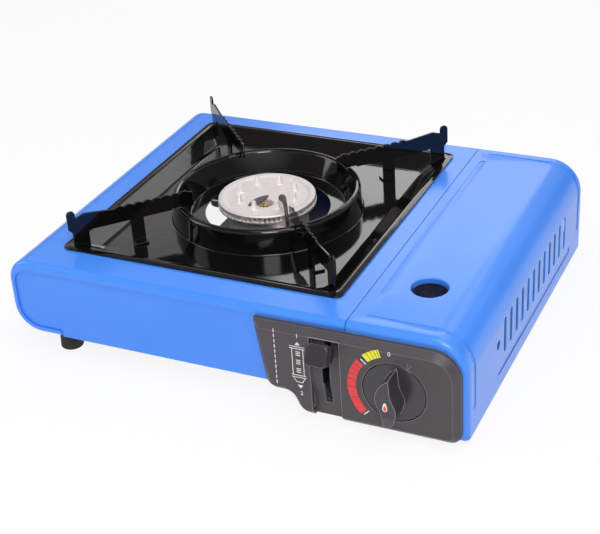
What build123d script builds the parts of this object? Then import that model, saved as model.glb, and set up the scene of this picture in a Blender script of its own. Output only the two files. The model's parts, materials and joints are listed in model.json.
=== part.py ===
"""Portable one-burner gas stove with a side bay for a gas cartridge.

Frame: X runs along the front from left to right, Y from the front to the back, Z up from the table.
The origin is under the middle of the whole stove. Depths are measured back from the front plane of the body.
All lengths are in millimetres.
"""

import os
from math import atan2, cos, degrees, radians, sin, tan

from build123d import *

os.makedirs("parts", exist_ok=True)

# Driving dimensions
body_width = 345.0
body_depth = 277.0
deck_height = 77.0
floor_height = 19.0
low_height = 4.0
lid_width = 83.0
sheet = 1.0
seam_gap = 0.6
fit_gap = 0.3
running_gap = 0.05
edge_radius = 4.0
knob_reach = 24.0
overrun = 3.0

# Planes that the pieces share
left_x = -body_width / 2
right_x = body_width / 2
seam_x = right_x - lid_width
front_y = (knob_reach - body_depth) / 2
deck_under = deck_height - sheet

# Burner half: rounded shoulder, rounded heel, rims left round the front and rear sheets
shoulder_radius = 17.0
heel_radius = 21.0
heel_run = 38.5
top_rim = 7.0
side_rim = 5.0
rim_corner_inset = 145.5
rim_corner_radius = 9.0
rim_tab_width = 7.0
rim_tab_low = 44.0
panel_inset = 3.2

# Cartridge half: lid corner and hinge line
lid_shoulder = 25.0
lid_rim = 7.0
pivot_inset = 7.5
pivot_height = 10.0
ear_radius = 5.6
pin_radius = 2.5
pivot_x = right_x - pivot_inset

# Burner, tray and ring share this centre
tray_left_margin = 31.3
tray_right_margin = 13.7
tray_front_margin = 25.1
tray_rear_margin = 19.9
tray_width = body_width - lid_width - tray_left_margin - tray_right_margin
tray_length = body_depth - tray_front_margin - tray_rear_margin
burner_x = left_x + tray_left_margin + tray_width / 2
burner_depth = tray_front_margin + tray_length / 2
burner_radius = 36.6
burner_top = 82.0

# Control panel: knob axis and lever plane
panel_proud = 8.0
knob_inset = 47.3
knob_height = 36.4
knob_x = right_x - knob_inset
lever_inset = 95.2
lever_x = right_x - lever_inset
lever_pivot_depth = 30.0
lever_pivot_height = 36.0

# Cartridge axis
cartridge_radius = 34.0
cartridge_inset = 41.5
cartridge_lift = 36.0
cartridge_x = right_x - cartridge_inset
cartridge_z = low_height + sheet + cartridge_lift


def rounded_face(corners):
    """Face through (x, y, radius) corners taken in order, each corner rounded by its radius."""
    bends = []
    for i, (x, y, radius) in enumerate(corners):
        here = Vector(x, y)
        if radius == 0:
            bends.append((here, here, here))
            continue
        back = (Vector(*corners[i - 1][:2]) - here).normalized()
        ahead = (Vector(*corners[(i + 1) % len(corners)][:2]) - here).normalized()
        half_turn = radians(back.get_angle(ahead)) / 2
        reach = radius / tan(half_turn)
        inward = (back + ahead).normalized()
        middle = here + inward * (radius / sin(half_turn) - radius)
        bends.append((here + back * reach, middle, here + ahead * reach))
    edges = []
    for i, (start, middle, end) in enumerate(bends):
        if corners[i][2] > 0:
            edges.append(ThreePointArc(start, middle, end))
        edges.append(Line(end, bends[(i + 1) % len(bends)][0]))
    return make_face(edges)


def sheet_face(points, thickness):
    """Face of a bent sheet: (x, y, bend radius) points on its right-hand side, thickness to the left."""
    left = []
    for i, (x, y, radius) in enumerate(points):
        here = Vector(x, y)
        back = (here - Vector(*points[i - 1][:2])).normalized() if i else None
        ahead = None
        if i + 1 < len(points):
            ahead = (Vector(*points[i + 1][:2]) - here).normalized()
        back = back or ahead
        ahead = ahead or back
        turn = back.X * ahead.Y - back.Y * ahead.X
        half = radians(back.get_angle(ahead)) / 2
        normal = (Vector(-back.Y, back.X) + Vector(-ahead.Y, ahead.X)).normalized()
        shifted = here + normal * (thickness / cos(half))
        bend = 0
        if radius > 0:
            bend = radius - thickness if turn > 0 else radius + thickness
        left.append((shifted.X, shifted.Y, bend))
    return rounded_face(points + left[::-1])


def slab(face, near, far):
    """A face drawn in X and Z, run from one depth to another."""
    place = Plane((0, front_y + far, 0), x_dir=(1, 0, 0), z_dir=(0, -1, 0))
    return extrude(place * face, amount=far - near)


def side_slab(face, left, right):
    """A face drawn in depth and Z, run from one X to another."""
    place = Plane((left, front_y, 0), x_dir=(0, 1, 0), z_dir=(1, 0, 0))
    return extrude(place * face, amount=right - left)


def flat_slab(face, low, high):
    """A face drawn in X and depth, run from one height to another."""
    return extrude(Pos(0, front_y, low) * face, amount=high - low)


def block(x_span, depth_span, z_span):
    """A box between two X values, two depths and two heights."""
    (x0, x1), (y0, y1), (z0, z1) = x_span, depth_span, z_span
    middle = Pos((x0 + x1) / 2, front_y + (y0 + y1) / 2, (z0 + z1) / 2)
    return middle * Box(x1 - x0, y1 - y0, z1 - z0)


def rod_along_x(depth, height, radius, left, right):
    return Pos((left + right) / 2, front_y + depth, height) * Rot(0, 90, 0) * Cylinder(radius, right - left)


def rod_along_y(x, height, radius, near, far):
    return Pos(x, front_y + (near + far) / 2, height) * Rot(90, 0, 0) * Cylinder(radius, far - near)


def rod_along_z(x, depth, radius, low, high):
    return Pos(x, front_y + depth, (low + high) / 2) * Cylinder(radius, high - low)


def turned(face, x, depth):
    """A face drawn in radius and height, turned about the upright line at one place."""
    return Pos(x, front_y + depth, 0) * revolve(Plane.XZ * face, axis=Axis.Z)


def rectangle(x_span, z_span):
    (x0, x1), (z0, z1) = x_span, z_span
    return Pos((x0 + x1) / 2, (z0 + z1) / 2) * Rectangle(x1 - x0, z1 - z0)


def burner_section(inset, top_inset, right):
    """Front outline of the burner half, drawn in evenly, out to a right-hand limit."""
    left = left_x + inset
    top = deck_height - top_inset
    bottom = floor_height + inset
    return rounded_face(
        [
            (right, top, 0),
            (left, top, shoulder_radius - inset),
            (left, bottom, heel_radius - inset),
            (right, bottom, 0),
        ]
    )


def lid_section(inset, left, bottom):
    """Front outline of the lid, drawn in evenly, from a left-hand limit down to a bottom."""
    top = deck_height - inset
    right = right_x - inset
    return rounded_face(
        [
            (left, bottom, 0),
            (right, bottom, 0),
            (right, top, lid_shoulder - inset),
            (left, top, 0),
        ]
    )


def rolled_ends(solid, radius, is_rolled):
    """Round the front and rear edges that a test picks out."""
    ends = solid.edges().group_by(Axis.Y)
    return fillet([e for e in ends[0] + ends[-1] if is_rolled(e.center())], radius)


# Deck opening under the tray's lip
tray_lip = 5.0
tray_corner = 6.0


def rim_corner():
    """Tab of the front rim that curves down behind the control panel's left edge."""
    left = right_x - rim_corner_inset
    right = left + rim_tab_width
    top = deck_height - top_rim
    tab = rectangle((left - rim_corner_radius, right), (rim_tab_low, top + sheet / 2))
    corner = rounded_face(
        [
            (left, rim_tab_low - overrun, 0),
            (left, top, rim_corner_radius),
            (left - 2 * rim_corner_radius, top, 0),
            (left - 2 * rim_corner_radius, rim_tab_low - overrun, 0),
        ]
    )
    return tab - corner


def top_shell():
    """Deck, rounded shoulder, left wall and heel: one drawn sheet with rims at the front and rear."""
    right = seam_x - seam_gap / 2
    outer = slab(burner_section(0, 0, right), 0, body_depth)
    outer = rolled_ends(outer, edge_radius, lambda c: c.X < right - sheet)
    inner = slab(burner_section(sheet, sheet, right + overrun), sheet, body_depth - sheet)
    inner = rolled_ends(inner, edge_radius - sheet, lambda c: c.X < right)
    window = slab(burner_section(side_rim, top_rim, right + overrun), -overrun, body_depth + overrun)
    under = block(
        (left_x + heel_run, right + overrun),
        (-overrun, body_depth + overrun),
        (floor_height - overrun, deck_height - shoulder_radius),
    )
    opening = Pos(burner_x, burner_depth) * RectangleRounded(
        tray_width - 2 * tray_lip, tray_length - 2 * tray_lip, tray_corner
    )
    shell = outer - inner - window - under
    shell += slab(rim_corner(), 0, sheet)
    return shell - flat_slab(opening, deck_under - overrun, deck_height + overrun)


# Lid details
vent_count = 12
vent_pitch = 13.6
vent_first = 77.0
vent_width = 5.0
vent_low = 26.0
vent_high = 53.0
wall_hole_radius = 3.5
wall_hole_depth = 62.0
wall_hole_height = 39.5
sight_radius = 12.5
sight_inset = 46.6
sight_depth = 59.0
sight_collar = 3.0
bead_depth = 0.5
bead_width = 5.0
bead_margin = 9.0
bead_start = 10.0
bead_low = 23.0
seam_bead_first = 40.0
seam_bead_last = 254.0
long_bead_first = 62.0
long_bead_last = 244.0
long_bead_height = 17.0
sight_x = right_x - sight_inset


def lid_beads():
    """Pressed grooves: two run over the corner and down the wall, one by the seam, one under the vents."""
    seam_edge = seam_x + seam_gap / 2
    band = lid_section(0, seam_edge + bead_start, bead_low) - lid_section(bead_depth, seam_x, low_height)
    far_side = body_depth - bead_margin
    front = slab(band, bead_margin, bead_margin + bead_width)
    rear = slab(band, far_side - bead_width, far_side)
    seam_place = Pos(seam_edge + bead_start, (seam_bead_first + seam_bead_last) / 2) * Rot(0, 0, 90)
    seam_slot = seam_place * SlotOverall(seam_bead_last - seam_bead_first, bead_width)
    seam = flat_slab(seam_slot, deck_height - bead_depth, deck_height + overrun)
    long_middle = (long_bead_first + long_bead_last) / 2
    long_slot = Pos(long_middle, long_bead_height) * SlotOverall(long_bead_last - long_bead_first, bead_width)
    return front + rear + seam + side_slab(long_slot, right_x - bead_depth, right_x + overrun)


def lid_vents():
    """Upright slots in the lid's wall, with the round hole in front of them."""
    height = vent_high - vent_low
    slot = Rot(0, 0, 90) * SlotOverall(height, vent_width)
    slots = [
        Pos(vent_first + i * vent_pitch, vent_low + height / 2) * slot
        for i in range(vent_count)
    ]
    slots.append(Pos(wall_hole_depth, wall_hole_height) * Circle(wall_hole_radius))
    return Sketch() + slots


def cartridge_lid():
    """Lid over the cartridge: top, rounded corner, right wall, rims and the ears that it swings on."""
    left = seam_x + seam_gap / 2
    outer = slab(lid_section(0, left, low_height), 0, body_depth)
    outer = rolled_ends(outer, edge_radius, lambda c: c.X > left + sheet and c.Z > low_height + sheet)
    inner = slab(lid_section(sheet, left - overrun, low_height - overrun), sheet, body_depth - sheet)
    inner = rolled_ends(inner, edge_radius - sheet, lambda c: c.X > left and c.Z > low_height)
    window = slab(
        lid_section(lid_rim, left - overrun, low_height - overrun), -overrun, body_depth + overrun
    )
    lid = outer - inner - window
    for near, far in ((0, sheet), (body_depth - sheet, body_depth)):
        lid += rod_along_y(pivot_x, pivot_height, ear_radius, near, far) & outer
    lid -= rod_along_y(pivot_x, pivot_height, pin_radius + running_gap, -overrun, body_depth + overrun)
    lid += rod_along_z(sight_x, sight_depth, sight_radius + sheet, deck_under - sight_collar, deck_under)
    span = (deck_under - 2 * sight_collar, deck_height + overrun)
    lid -= rod_along_z(sight_x, sight_depth, sight_radius, *span)
    rim = [e for e in lid.edges().filter_by(GeomType.CIRCLE) if abs(e.radius - sight_radius) < running_gap]
    lid = fillet(max(rim, key=lambda e: e.center().Z), sheet)
    lid -= side_slab(lid_vents(), right_x - sheet - overrun, right_x + overrun)
    return lid - lid_beads()


# Front and rear sheets
flange_run = 8.0
step_inset = 123.5
step_run = 10.0
sheet_top_drop = 5.5
sheet_right_inset = 14.0
lobe_span = 6.0
lobe_radius = 4.0
spindle_hole = 6.0
sheet_near = sheet + fit_gap
sheet_far = sheet_near + sheet
sheet_low = low_height + sheet
step_start = right_x - step_inset


def end_sheet_face():
    """Outline of the front and rear sheets: the burner half, the deeper bay and a lobe for the hinge."""
    top = deck_height - sheet_top_drop
    right = right_x - sheet_right_inset
    face = burner_section(panel_inset, sheet_top_drop, seam_x)
    face += rectangle((left_x + heel_run + fit_gap, step_start), (floor_height, deck_height / 2))
    face += rounded_face(
        [
            (step_start, floor_height, 0),
            (step_start + step_run, sheet_low, 0),
            (right, sheet_low, 0),
            (right, top, lid_shoulder - lid_rim),
            (step_start, top, 0),
        ]
    )
    face += Pos(pivot_x, pivot_height) * Circle(lobe_radius)
    face += rectangle((right - lobe_span, pivot_x), (pivot_height, pivot_height + lobe_radius))
    return face - Pos(pivot_x, pivot_height) * Circle(pin_radius + running_gap)


def end_sheet(near, flange_near):
    """One end sheet with its lower edge turned in as a flange."""
    flange = block(
        (left_x + heel_run + fit_gap, step_start - sheet),
        (flange_near, flange_near + flange_run),
        (floor_height, floor_height + sheet),
    )
    return slab(end_sheet_face(), near, near + sheet) + flange


# Lever channel in the control panel
channel_width = 21.0
channel_wall = 1.8
channel_top = 66.0
channel_roof = 1.5
channel_back = 11.0
channel_floor_radius = 45.0
channel_floor_height = 38.0
channel_floor_sink = 1.5
channel_floor_wall = 2.0
slot_width = 5.2
slot_low = 14.5
slot_high = 62.0
channel_left = lever_x - channel_width / 2
channel_right = lever_x + channel_width / 2
floor_axis_depth = channel_floor_sink - panel_proud + channel_floor_radius


def front_panel():
    """Front sheet: it shows at the left and carries the control panel and the front hinge pin."""
    panel = end_sheet(sheet_near, sheet_near)
    panel -= rod_along_y(knob_x, knob_height, spindle_hole, -overrun, sheet_far + overrun)
    for x, z in boss_places():
        panel -= rod_along_y(x, z, panel_screw_radius + running_gap, -overrun, sheet_far + overrun)
    return panel - block(
        (channel_left - channel_wall - fit_gap, channel_right + channel_wall + fit_gap),
        (-overrun, sheet_far + overrun),
        (low_height - overrun, channel_top + channel_roof + fit_gap),
    )


def rear_panel():
    """Rear sheet, with the rear hinge pin's hole."""
    return end_sheet(body_depth - sheet_far, body_depth - sheet_near - flange_run)


# Base sheet, with an air opening behind the burner's left
air_left_margin = 32.5
air_width = 52.0
air_length = 50.0
air_rear_margin = 50.5
air_corner = 4.0


def base_plate():
    """Bright sheet under the burner, on the heel's return and the end sheets' flanges."""
    left = left_x + heel_radius
    low = floor_height + sheet
    plate = block((left, step_start - sheet), (edge_radius, body_depth - edge_radius), (low, low + sheet))
    air_middle = Pos(left_x + air_left_margin + air_width / 2, body_depth - air_rear_margin - air_length / 2)
    air = air_middle * RectangleRounded(air_width, air_length, air_corner)
    return plate - flat_slab(air, low - overrun, low + sheet + overrun)


# Pan under the cartridge bay
pan_flange = 10.0
pan_right_inset = 17.0
pan_upstand = 10.0


def bay_pan():
    """Deeper pan: a flange on the base plate, a slope, the bay's floor and a low upstand at the right."""
    step_end = step_start + step_run
    right = right_x - pan_right_inset
    flange_under = floor_height + 2 * sheet
    points = [
        (step_start - sheet - pan_flange, flange_under, 0),
        (step_start - sheet, flange_under, 0),
        (step_end, low_height, 0),
        (right, low_height, 0),
        (right, low_height + pan_upstand, 0),
    ]
    return slab(sheet_face(points, sheet), sheet_far, body_depth - sheet_far)


# Partition between burner and cartridge
partition_offset = 2.0
partition_flange = 11.0
partition_foot = 9.0
pipe_radius = 2.5
pipe_depth = 36.0
pipe_clearance = 2.5
lead_radius = 1.2
lead_depth = 18.0
lead_rise = 2.0
grommet_gap = 0.5
carriage_low = 38.6
carriage_high = 48.0
claw_clearance = 1.8
claw_slot_front = 52.0
claw_slot_back = 71.0
piezo_height = 62.0
partition_x = seam_x + partition_offset
pipe_height = carriage_high + pipe_clearance + pipe_radius
lead_height = piezo_height + lead_rise


def partition():
    """Heat shield: flanged under the deck's edge and footed on the bay's floor."""
    top = deck_under - fit_gap
    floor = low_height + sheet
    right = partition_x + sheet
    points = [
        (right + partition_foot, floor + sheet, 0),
        (right, floor + sheet, 0),
        (right, top, 0),
        (right - partition_flange, top, 0),
    ]
    wall = slab(sheet_face(points, sheet), edge_radius, body_depth - edge_radius)
    left = partition_x - overrun
    far = right + overrun
    wall -= rod_along_x(pipe_depth, pipe_height, pipe_radius + grommet_gap, left, far)
    wall -= rod_along_x(lead_depth, lead_height, lead_radius + grommet_gap, left, far)
    slot_span = (carriage_low - claw_clearance, carriage_high + claw_clearance)
    return wall - block((left, far), (claw_slot_front, claw_slot_back), slot_span)


# Cradle for the cartridge
rib_depths = (92.0, 216.0)
rib_thickness = 3.0
rib_half_width = 23.0
rib_height = 9.0


def cartridge_cradle():
    """Two ribs on the bay's floor, hollowed to the cartridge's radius."""
    floor = low_height + sheet
    across = (cartridge_x - rib_half_width, cartridge_x + rib_half_width)
    blank = rectangle(across, (floor, floor + rib_height))
    face = blank - Pos(cartridge_x, cartridge_z) * Circle(cartridge_radius + fit_gap)
    return Compound([slab(face, depth, depth + rib_thickness) for depth in rib_depths])


# Gas valve and regulator
bracket_depth = 46.0
bracket_top = 66.0
guide_width = 9.0
guide_run = 13.0
inlet_radius = 9.0
inlet_run = 7.0
port_radius = 4.0
port_depth = 10.0
seal_groove = 1.0
seal_thickness = 2.0
regulator_radius = 14.0
regulator_near = 20.0
valve_near = 6.0
valve_width = 26.0
valve_height = 22.0
valve_rise = 2.0
dome_radius = 15.0
dome_half_height = 5.0
dome_edge = 2.0
spindle_radius = 3.0
spindle_far = 16.0
outlet_radius = 4.5
outlet_left_inset = 66.5
piezo_radius = 6.0
piezo_inset = 18.5
piezo_near = 8.0
terminal_radius = 2.0
terminal_run = 4.0
outlet_x = right_x - outlet_left_inset
piezo_x = right_x - piezo_inset


def valve_bracket():
    """Upright plate across the bay with the inlet's hole and the tongue that the cartridge's notch finds."""
    floor = low_height + sheet
    left = partition_x + sheet + partition_foot + sheet
    right = right_x - pan_right_inset - sheet - fit_gap
    face = rectangle((left, right), (floor, bracket_top))
    face -= Pos(cartridge_x, cartridge_z) * Circle(inlet_radius + running_gap)
    plate = slab(face, bracket_depth, bracket_depth + sheet)
    plate += block((left, right), (bracket_depth - flange_run, bracket_depth), (floor, floor + sheet))
    return plate + block(
        (cartridge_x - guide_width / 2, cartridge_x + guide_width / 2),
        (bracket_depth, bracket_depth + guide_run),
        (bracket_top - sheet, bracket_top),
    )


def regulator():
    """Die-cast valve and regulator: valve block, round body, diaphragm dome, inlet and outlet."""
    axis_high = knob_height + valve_height / 2 + valve_rise
    axis_low = knob_height - valve_height / 2 + valve_rise
    body = block(
        (knob_x - valve_width / 2, knob_x + valve_width / 2),
        (valve_near, regulator_near + overrun),
        (axis_low, axis_high),
    )
    body += rod_along_y(cartridge_x, cartridge_z, regulator_radius, regulator_near, bracket_depth)
    dome_depth = bracket_depth - dome_radius - fit_gap
    dome_low = pipe_height - dome_half_height
    dome_high = pipe_height + dome_half_height
    dome = rod_along_z(cartridge_x, dome_depth, dome_radius - dome_edge, dome_low - dome_radius, dome_high)
    cap = rod_along_z(cartridge_x, dome_depth, dome_radius, dome_low, dome_high)
    body += dome + fillet(cap.edges().group_by(Axis.Z)[-1], dome_edge)
    body += rod_along_x(pipe_depth, pipe_height, outlet_radius, outlet_x, cartridge_x)
    inlet_end = bracket_depth + sheet + inlet_run
    body += rod_along_y(cartridge_x, cartridge_z, inlet_radius, bracket_depth - overrun, inlet_end)
    port_end = inlet_end - port_depth
    body -= rod_along_y(cartridge_x, cartridge_z, port_radius, port_end, inlet_end + overrun)
    groove_radius = port_radius + seal_groove
    body -= rod_along_y(cartridge_x, cartridge_z, groove_radius, port_end - seal_thickness, port_end)
    return body - rod_along_y(
        knob_x, knob_height, spindle_radius + running_gap, valve_near - overrun, spindle_far + fit_gap
    )


def inlet_seal():
    """Rubber washer in the groove at the bottom of the inlet."""
    far = bracket_depth + sheet + inlet_run - port_depth
    near = far - seal_thickness
    radius = port_radius + seal_groove - running_gap
    outer = rod_along_y(cartridge_x, cartridge_z, radius, near, far)
    return outer - rod_along_y(cartridge_x, cartridge_z, port_radius / 2, near - overrun, far + overrun)


def piezo_igniter():
    """Spark igniter beside the valve, with its side terminal."""
    body = rod_along_y(piezo_x, piezo_height, piezo_radius, piezo_near, bracket_depth)
    body = fillet(body.edges().group_by(Axis.Y)[0], sheet)
    left = piezo_x - piezo_radius - terminal_run
    return body + rod_along_x(lead_depth, piezo_height, terminal_radius, left, piezo_x)


# Burner bowl, head and what stands in its centre
bowl_radius = 30.2
bowl_wall = 1.5
bowl_low = 50.0
sleeve_radius = 8.0
flange_radius = 37.0
flange_height = 77.2
head_wall = 3.0
head_hole = 6.5
head_edge = 1.2
skirt_wall = 3.0
flame_slot_count = 64
flame_slot_width = 1.7
flame_slot_height = 3.2
nub_count = 8
nub_radius = 2.1
nub_height = 5.0
nub_circle_share = 0.6
head_rim = 3.6
head_dish = 1.2
tube_radius = 8.0
tube_wall = 1.3
tube_height = 60.0
tube_seam_gap = 39.5
tube_forward = 79.1
tube_socket = 3.0
igniter_right = 4.0
igniter_forward = 12.0
igniter_x = burner_x + igniter_right
igniter_depth = burner_depth - igniter_forward

tube_run = Vector(seam_x - tube_seam_gap - burner_x, -tube_forward)
tube_start = bowl_radius - tube_socket
tube_length = tube_run.length - tube_start
tube_turn = degrees(atan2(tube_run.Y, tube_run.X))


def along_tube(shape):
    """Put a shape that runs out along X from the burner's centre on the line of the mixing tube."""
    return Pos(burner_x, front_y + burner_depth, tube_height) * Rot(0, 0, tube_turn) * shape


def tube_rod(radius, start, end):
    return along_tube(Pos((start + end) / 2, 0, 0) * Rot(0, 90, 0) * Cylinder(radius, end - start))


def burner_base():
    """Round bowl: bottom, outer wall with its flange, and the sleeve that the igniter stands in."""
    face = rounded_face(
        [
            (0, bowl_low, 0),
            (bowl_radius, bowl_low, edge_radius),
            (bowl_radius, flange_height - bowl_wall, 0),
            (flange_radius, flange_height - bowl_wall, 0),
            (flange_radius, flange_height, 0),
            (bowl_radius - bowl_wall, flange_height, 0),
            (bowl_radius - bowl_wall, bowl_low + bowl_wall, edge_radius - bowl_wall),
            (0, bowl_low + bowl_wall, 0),
        ]
    )
    bowl = turned(face, burner_x, burner_depth)
    bowl += rod_along_z(igniter_x, igniter_depth, sleeve_radius, bowl_low, burner_top - head_wall)
    bowl -= rod_along_z(igniter_x, igniter_depth, sleeve_radius - bowl_wall, bowl_low - overrun, burner_top)
    return bowl - tube_rod(tube_radius + running_gap, tube_start - tube_socket, bowl_radius + overrun)


def burner_head():
    """Cast head: dished top with nubs, a rim with flame slots and a hole over the igniter."""
    face = rounded_face(
        [
            (0, burner_top - head_wall, 0),
            (burner_radius - skirt_wall, burner_top - head_wall, 0),
            (burner_radius - skirt_wall, flange_height, 0),
            (burner_radius, flange_height, 0),
            (burner_radius, burner_top, head_edge),
            (burner_radius - head_rim, burner_top, head_dish),
            (burner_radius - head_rim - 2 * head_dish, burner_top - head_dish, head_dish),
            (0, burner_top - head_dish, 0),
        ]
    )
    head = turned(face, burner_x, burner_depth)
    head -= rod_along_z(igniter_x, igniter_depth, head_hole, flange_height, burner_top + overrun)
    centre = Pos(burner_x, front_y + burner_depth, 0)
    slot_middle = flange_height + flame_slot_height / 2
    cutter = Pos(burner_radius, 0, slot_middle) * Box(3 * skirt_wall, flame_slot_width, flame_slot_height)
    cutters = [centre * Rot(0, 0, i * 360 / flame_slot_count) * cutter for i in range(flame_slot_count)]
    head -= cutters
    peg = Pos(burner_radius * nub_circle_share, 0, burner_top - head_dish + nub_height / 2)
    peg = peg * Cone(nub_radius, nub_radius / 2, nub_height)
    return head + [centre * Rot(0, 0, (i + 0.5) * 360 / nub_count) * peg for i in range(nub_count)]


# Bridge that carries the burner
bridge_half_span = 40.0
bridge_foot = 12.0
bridge_width = 44.0
bridge_sheet = 1.5
insulator_radius = 3.0
collar_radius = 6.0
collar_height = 2.0
insulator_low = 38.0
insulator_high = 70.0
tip_radius = 2.0
tip_high = 80.0
screw_radius = 2.0
screw_head_radius = 3.6
screw_head = 2.4
screw_circle = 22.0


def burner_bracket():
    """Bent strap from the base plate up to the bowl, holed for the insulator."""
    floor = floor_height + 2 * sheet
    top = bowl_low - bridge_sheet
    points = [
        (burner_x - bridge_half_span - bridge_foot, floor, 0),
        (burner_x - bridge_half_span, floor, 0),
        (burner_x - bridge_half_span, top, 0),
        (burner_x + bridge_half_span, top, 0),
        (burner_x + bridge_half_span, floor, 0),
        (burner_x + bridge_half_span + bridge_foot, floor, 0),
    ]
    half = bridge_width / 2
    strap = slab(sheet_face(points, bridge_sheet), burner_depth - half, burner_depth + half)
    span = (top - overrun, bowl_low + overrun)
    strap -= rod_along_z(igniter_x, igniter_depth, insulator_radius + running_gap, *span)
    for x in screw_places():
        strap -= rod_along_z(x, burner_depth, screw_radius + running_gap, *span)
    return strap


def screw_places():
    return (burner_x - screw_circle, burner_x + screw_circle)


def burner_screws():
    """Two screws under the bridge that hold the bowl."""
    top = bowl_low - bridge_sheet
    screws = []
    for x in screw_places():
        head = rod_along_z(x, burner_depth, screw_head_radius, top - screw_head, top)
        screws.append(head + rod_along_z(x, burner_depth, screw_radius, top - screw_head, bowl_low))
    return Compound(screws)


def electrode_insulator():
    """Ceramic post with a collar that sits on the bridge."""
    post = rod_along_z(igniter_x, igniter_depth, insulator_radius, insulator_low, insulator_high)
    collar = rod_along_z(igniter_x, igniter_depth, collar_radius, bowl_low, bowl_low + collar_height)
    return fillet((post + collar).edges().group_by(Axis.Z)[-1], tip_radius / 2)


def electrode_tip():
    """Brass pin that stands on the post and ends in the head's hole, beside the spark target."""
    wire = rod_along_z(igniter_x, igniter_depth, tip_radius, insulator_high, tip_high)
    return fillet(wire.edges().group_by(Axis.Z)[-1], tip_radius / 2)


# Spark target
target_length = 21.5
target_width = 7.0
target_sheet = 0.8
target_turn = 71.0
target_left = 2.3
target_forward = 10.0


def spark_target():
    """Leaf of thin sheet on the head, with one edge over the igniter's hole."""
    bow = (target_length ** 2 / 4 - target_width ** 2 / 4) / target_width
    radius = bow + target_width / 2
    half_leaf = Pos(0, bow) * Circle(radius)
    leaf = half_leaf & (Pos(0, -bow) * Circle(radius))
    place = Pos(burner_x - target_left, front_y + burner_depth - target_forward, burner_top - head_dish)
    return place * Rot(0, 0, target_turn) * extrude(leaf, amount=target_sheet)


# Mixing tube and injector
air_window = 9.0
air_window_gap = 5.0
end_wall = 2.0
injector_radius = 3.2
injector_hex = 5.0
injector_hex_run = 7.0
injector_nose = 6.0
tube_end = tube_start + tube_length


def mixing_tube():
    """Tube from the injector to the bowl, closed but for the injector's hole, with windows for air."""
    tube = tube_rod(tube_radius, tube_start, tube_end)
    tube -= tube_rod(tube_radius - tube_wall, tube_start - overrun, tube_end - end_wall)
    tube -= tube_rod(injector_radius + running_gap, tube_end - 2 * end_wall, tube_end + overrun)
    middle = tube_end - end_wall - air_window_gap - air_window / 2
    return tube - along_tube(Pos(middle, 0, 0) * Box(air_window, 3 * tube_radius, tube_radius))


def injector():
    """Brass injector: hexagon against the tube's end and a nose inside it, drilled through."""
    hexagon = Rot(0, 90, 0) * extrude(RegularPolygon(injector_hex, 6), amount=injector_hex_run)
    body = along_tube(Pos(tube_end, 0, 0) * hexagon)
    body += tube_rod(injector_radius, tube_end - injector_nose, tube_end + sheet)
    start = tube_end - injector_nose - overrun
    return body - tube_rod(pipe_radius - sheet, start, tube_end + injector_hex_run + overrun)


# Gas pipe and ignition lead
pipe_bend_inset = 94.5
pipe_bend = 9.0
pipe_approach = 18.0
lead_bend = 9.0


def swept_rod(points, radii, radius):
    """A round rod along straight runs joined by arcs."""
    path = FilletPolyline(*points, radius=radii)
    return sweep(Plane(path @ 0, z_dir=path % 0) * Circle(radius), path=path)


def tube_point(distance):
    """A point on the mixing tube's axis, at a distance from the burner's centre."""
    turn = radians(tube_turn)
    x = burner_x + distance * cos(turn)
    return (x, front_y + burner_depth + distance * sin(turn), tube_height)


def gas_pipe():
    """Pipe from the regulator's outlet, through the partition, to the injector."""
    points = [
        (outlet_x, front_y + pipe_depth, pipe_height),
        (right_x - pipe_bend_inset, front_y + pipe_depth, pipe_height),
        tube_point(tube_end + injector_hex_run + pipe_approach),
        tube_point(tube_end + injector_hex_run),
    ]
    return swept_rod(points, pipe_bend, pipe_radius)


lead_run_insets = (68.5, 110.5)
lead_route = (
    (132.5, 36.0, 48.0),
    (148.5, 76.0, 36.0),
    (178.5, 120.0, 33.0),
)


def ignition_lead():
    """Lead from the igniter's terminal, through the partition, to the foot of the insulator."""
    terminal = piezo_x - piezo_radius - terminal_run
    points = [
        (terminal, front_y + lead_depth, piezo_height),
        (terminal - lead_bend, front_y + lead_depth, piezo_height),
    ]
    points += [(right_x - inset, front_y + lead_depth, lead_height) for inset in lead_run_insets]
    points += [(right_x - inset, front_y + depth, z) for inset, depth, z in lead_route]
    points += [
        (igniter_x, front_y + igniter_depth, insulator_low - lead_bend),
        (igniter_x, front_y + igniter_depth, insulator_low),
    ]
    return swept_rod(points, lead_bend / 3, lead_radius)


# Drip tray
tray_drop = 9.0
tray_fold = 19.0
fold_corner = 9.0
ring_base = 73.0
ring_crown = 69.0
ring_apex = 93.4
ring_bend = 2.0
ring_foot = 59.0
ring_foot_height = 71.0
ring_hole = 47.1
tray_seat = deck_height + fit_gap
tray_top = tray_seat + sheet
tray_floor = tray_top - tray_drop


def tray_basin(level):
    """Space of the tray below its lip, from a level down by the tray's depth."""
    top = RectangleRounded(tray_width - 2 * tray_lip, tray_length - 2 * tray_lip, tray_corner)
    low = RectangleRounded(tray_width - 2 * tray_fold, tray_length - 2 * tray_fold, fold_corner)
    centre = Pos(burner_x, front_y + burner_depth, level)
    return loft([centre * top, centre * Pos(0, 0, -tray_drop) * low], ruled=True)


def drip_tray():
    """Enamelled tray: a lip on the deck, a sloped basin and the raised ring round the burner."""
    lip = Pos(burner_x, burner_depth) * RectangleRounded(tray_width, tray_length, tray_corner)
    tray = flat_slab(lip, tray_seat, tray_top)
    tray += tray_basin(tray_seat)
    tray -= tray_basin(tray_top)
    tray -= rod_along_z(burner_x, burner_depth, ring_base, tray_floor - overrun, tray_top + overrun)
    points = [
        (ring_hole, ring_foot_height - sheet, 0),
        (ring_foot, ring_foot_height - sheet, ring_bend),
        (ring_crown, ring_apex, ring_bend),
        (ring_base - ring_bend, tray_floor - sheet, ring_bend),
        (ring_base + running_gap, tray_floor - sheet, 0),
    ]
    return tray + turned(sheet_face(points, sheet), burner_x, burner_depth)


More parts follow.
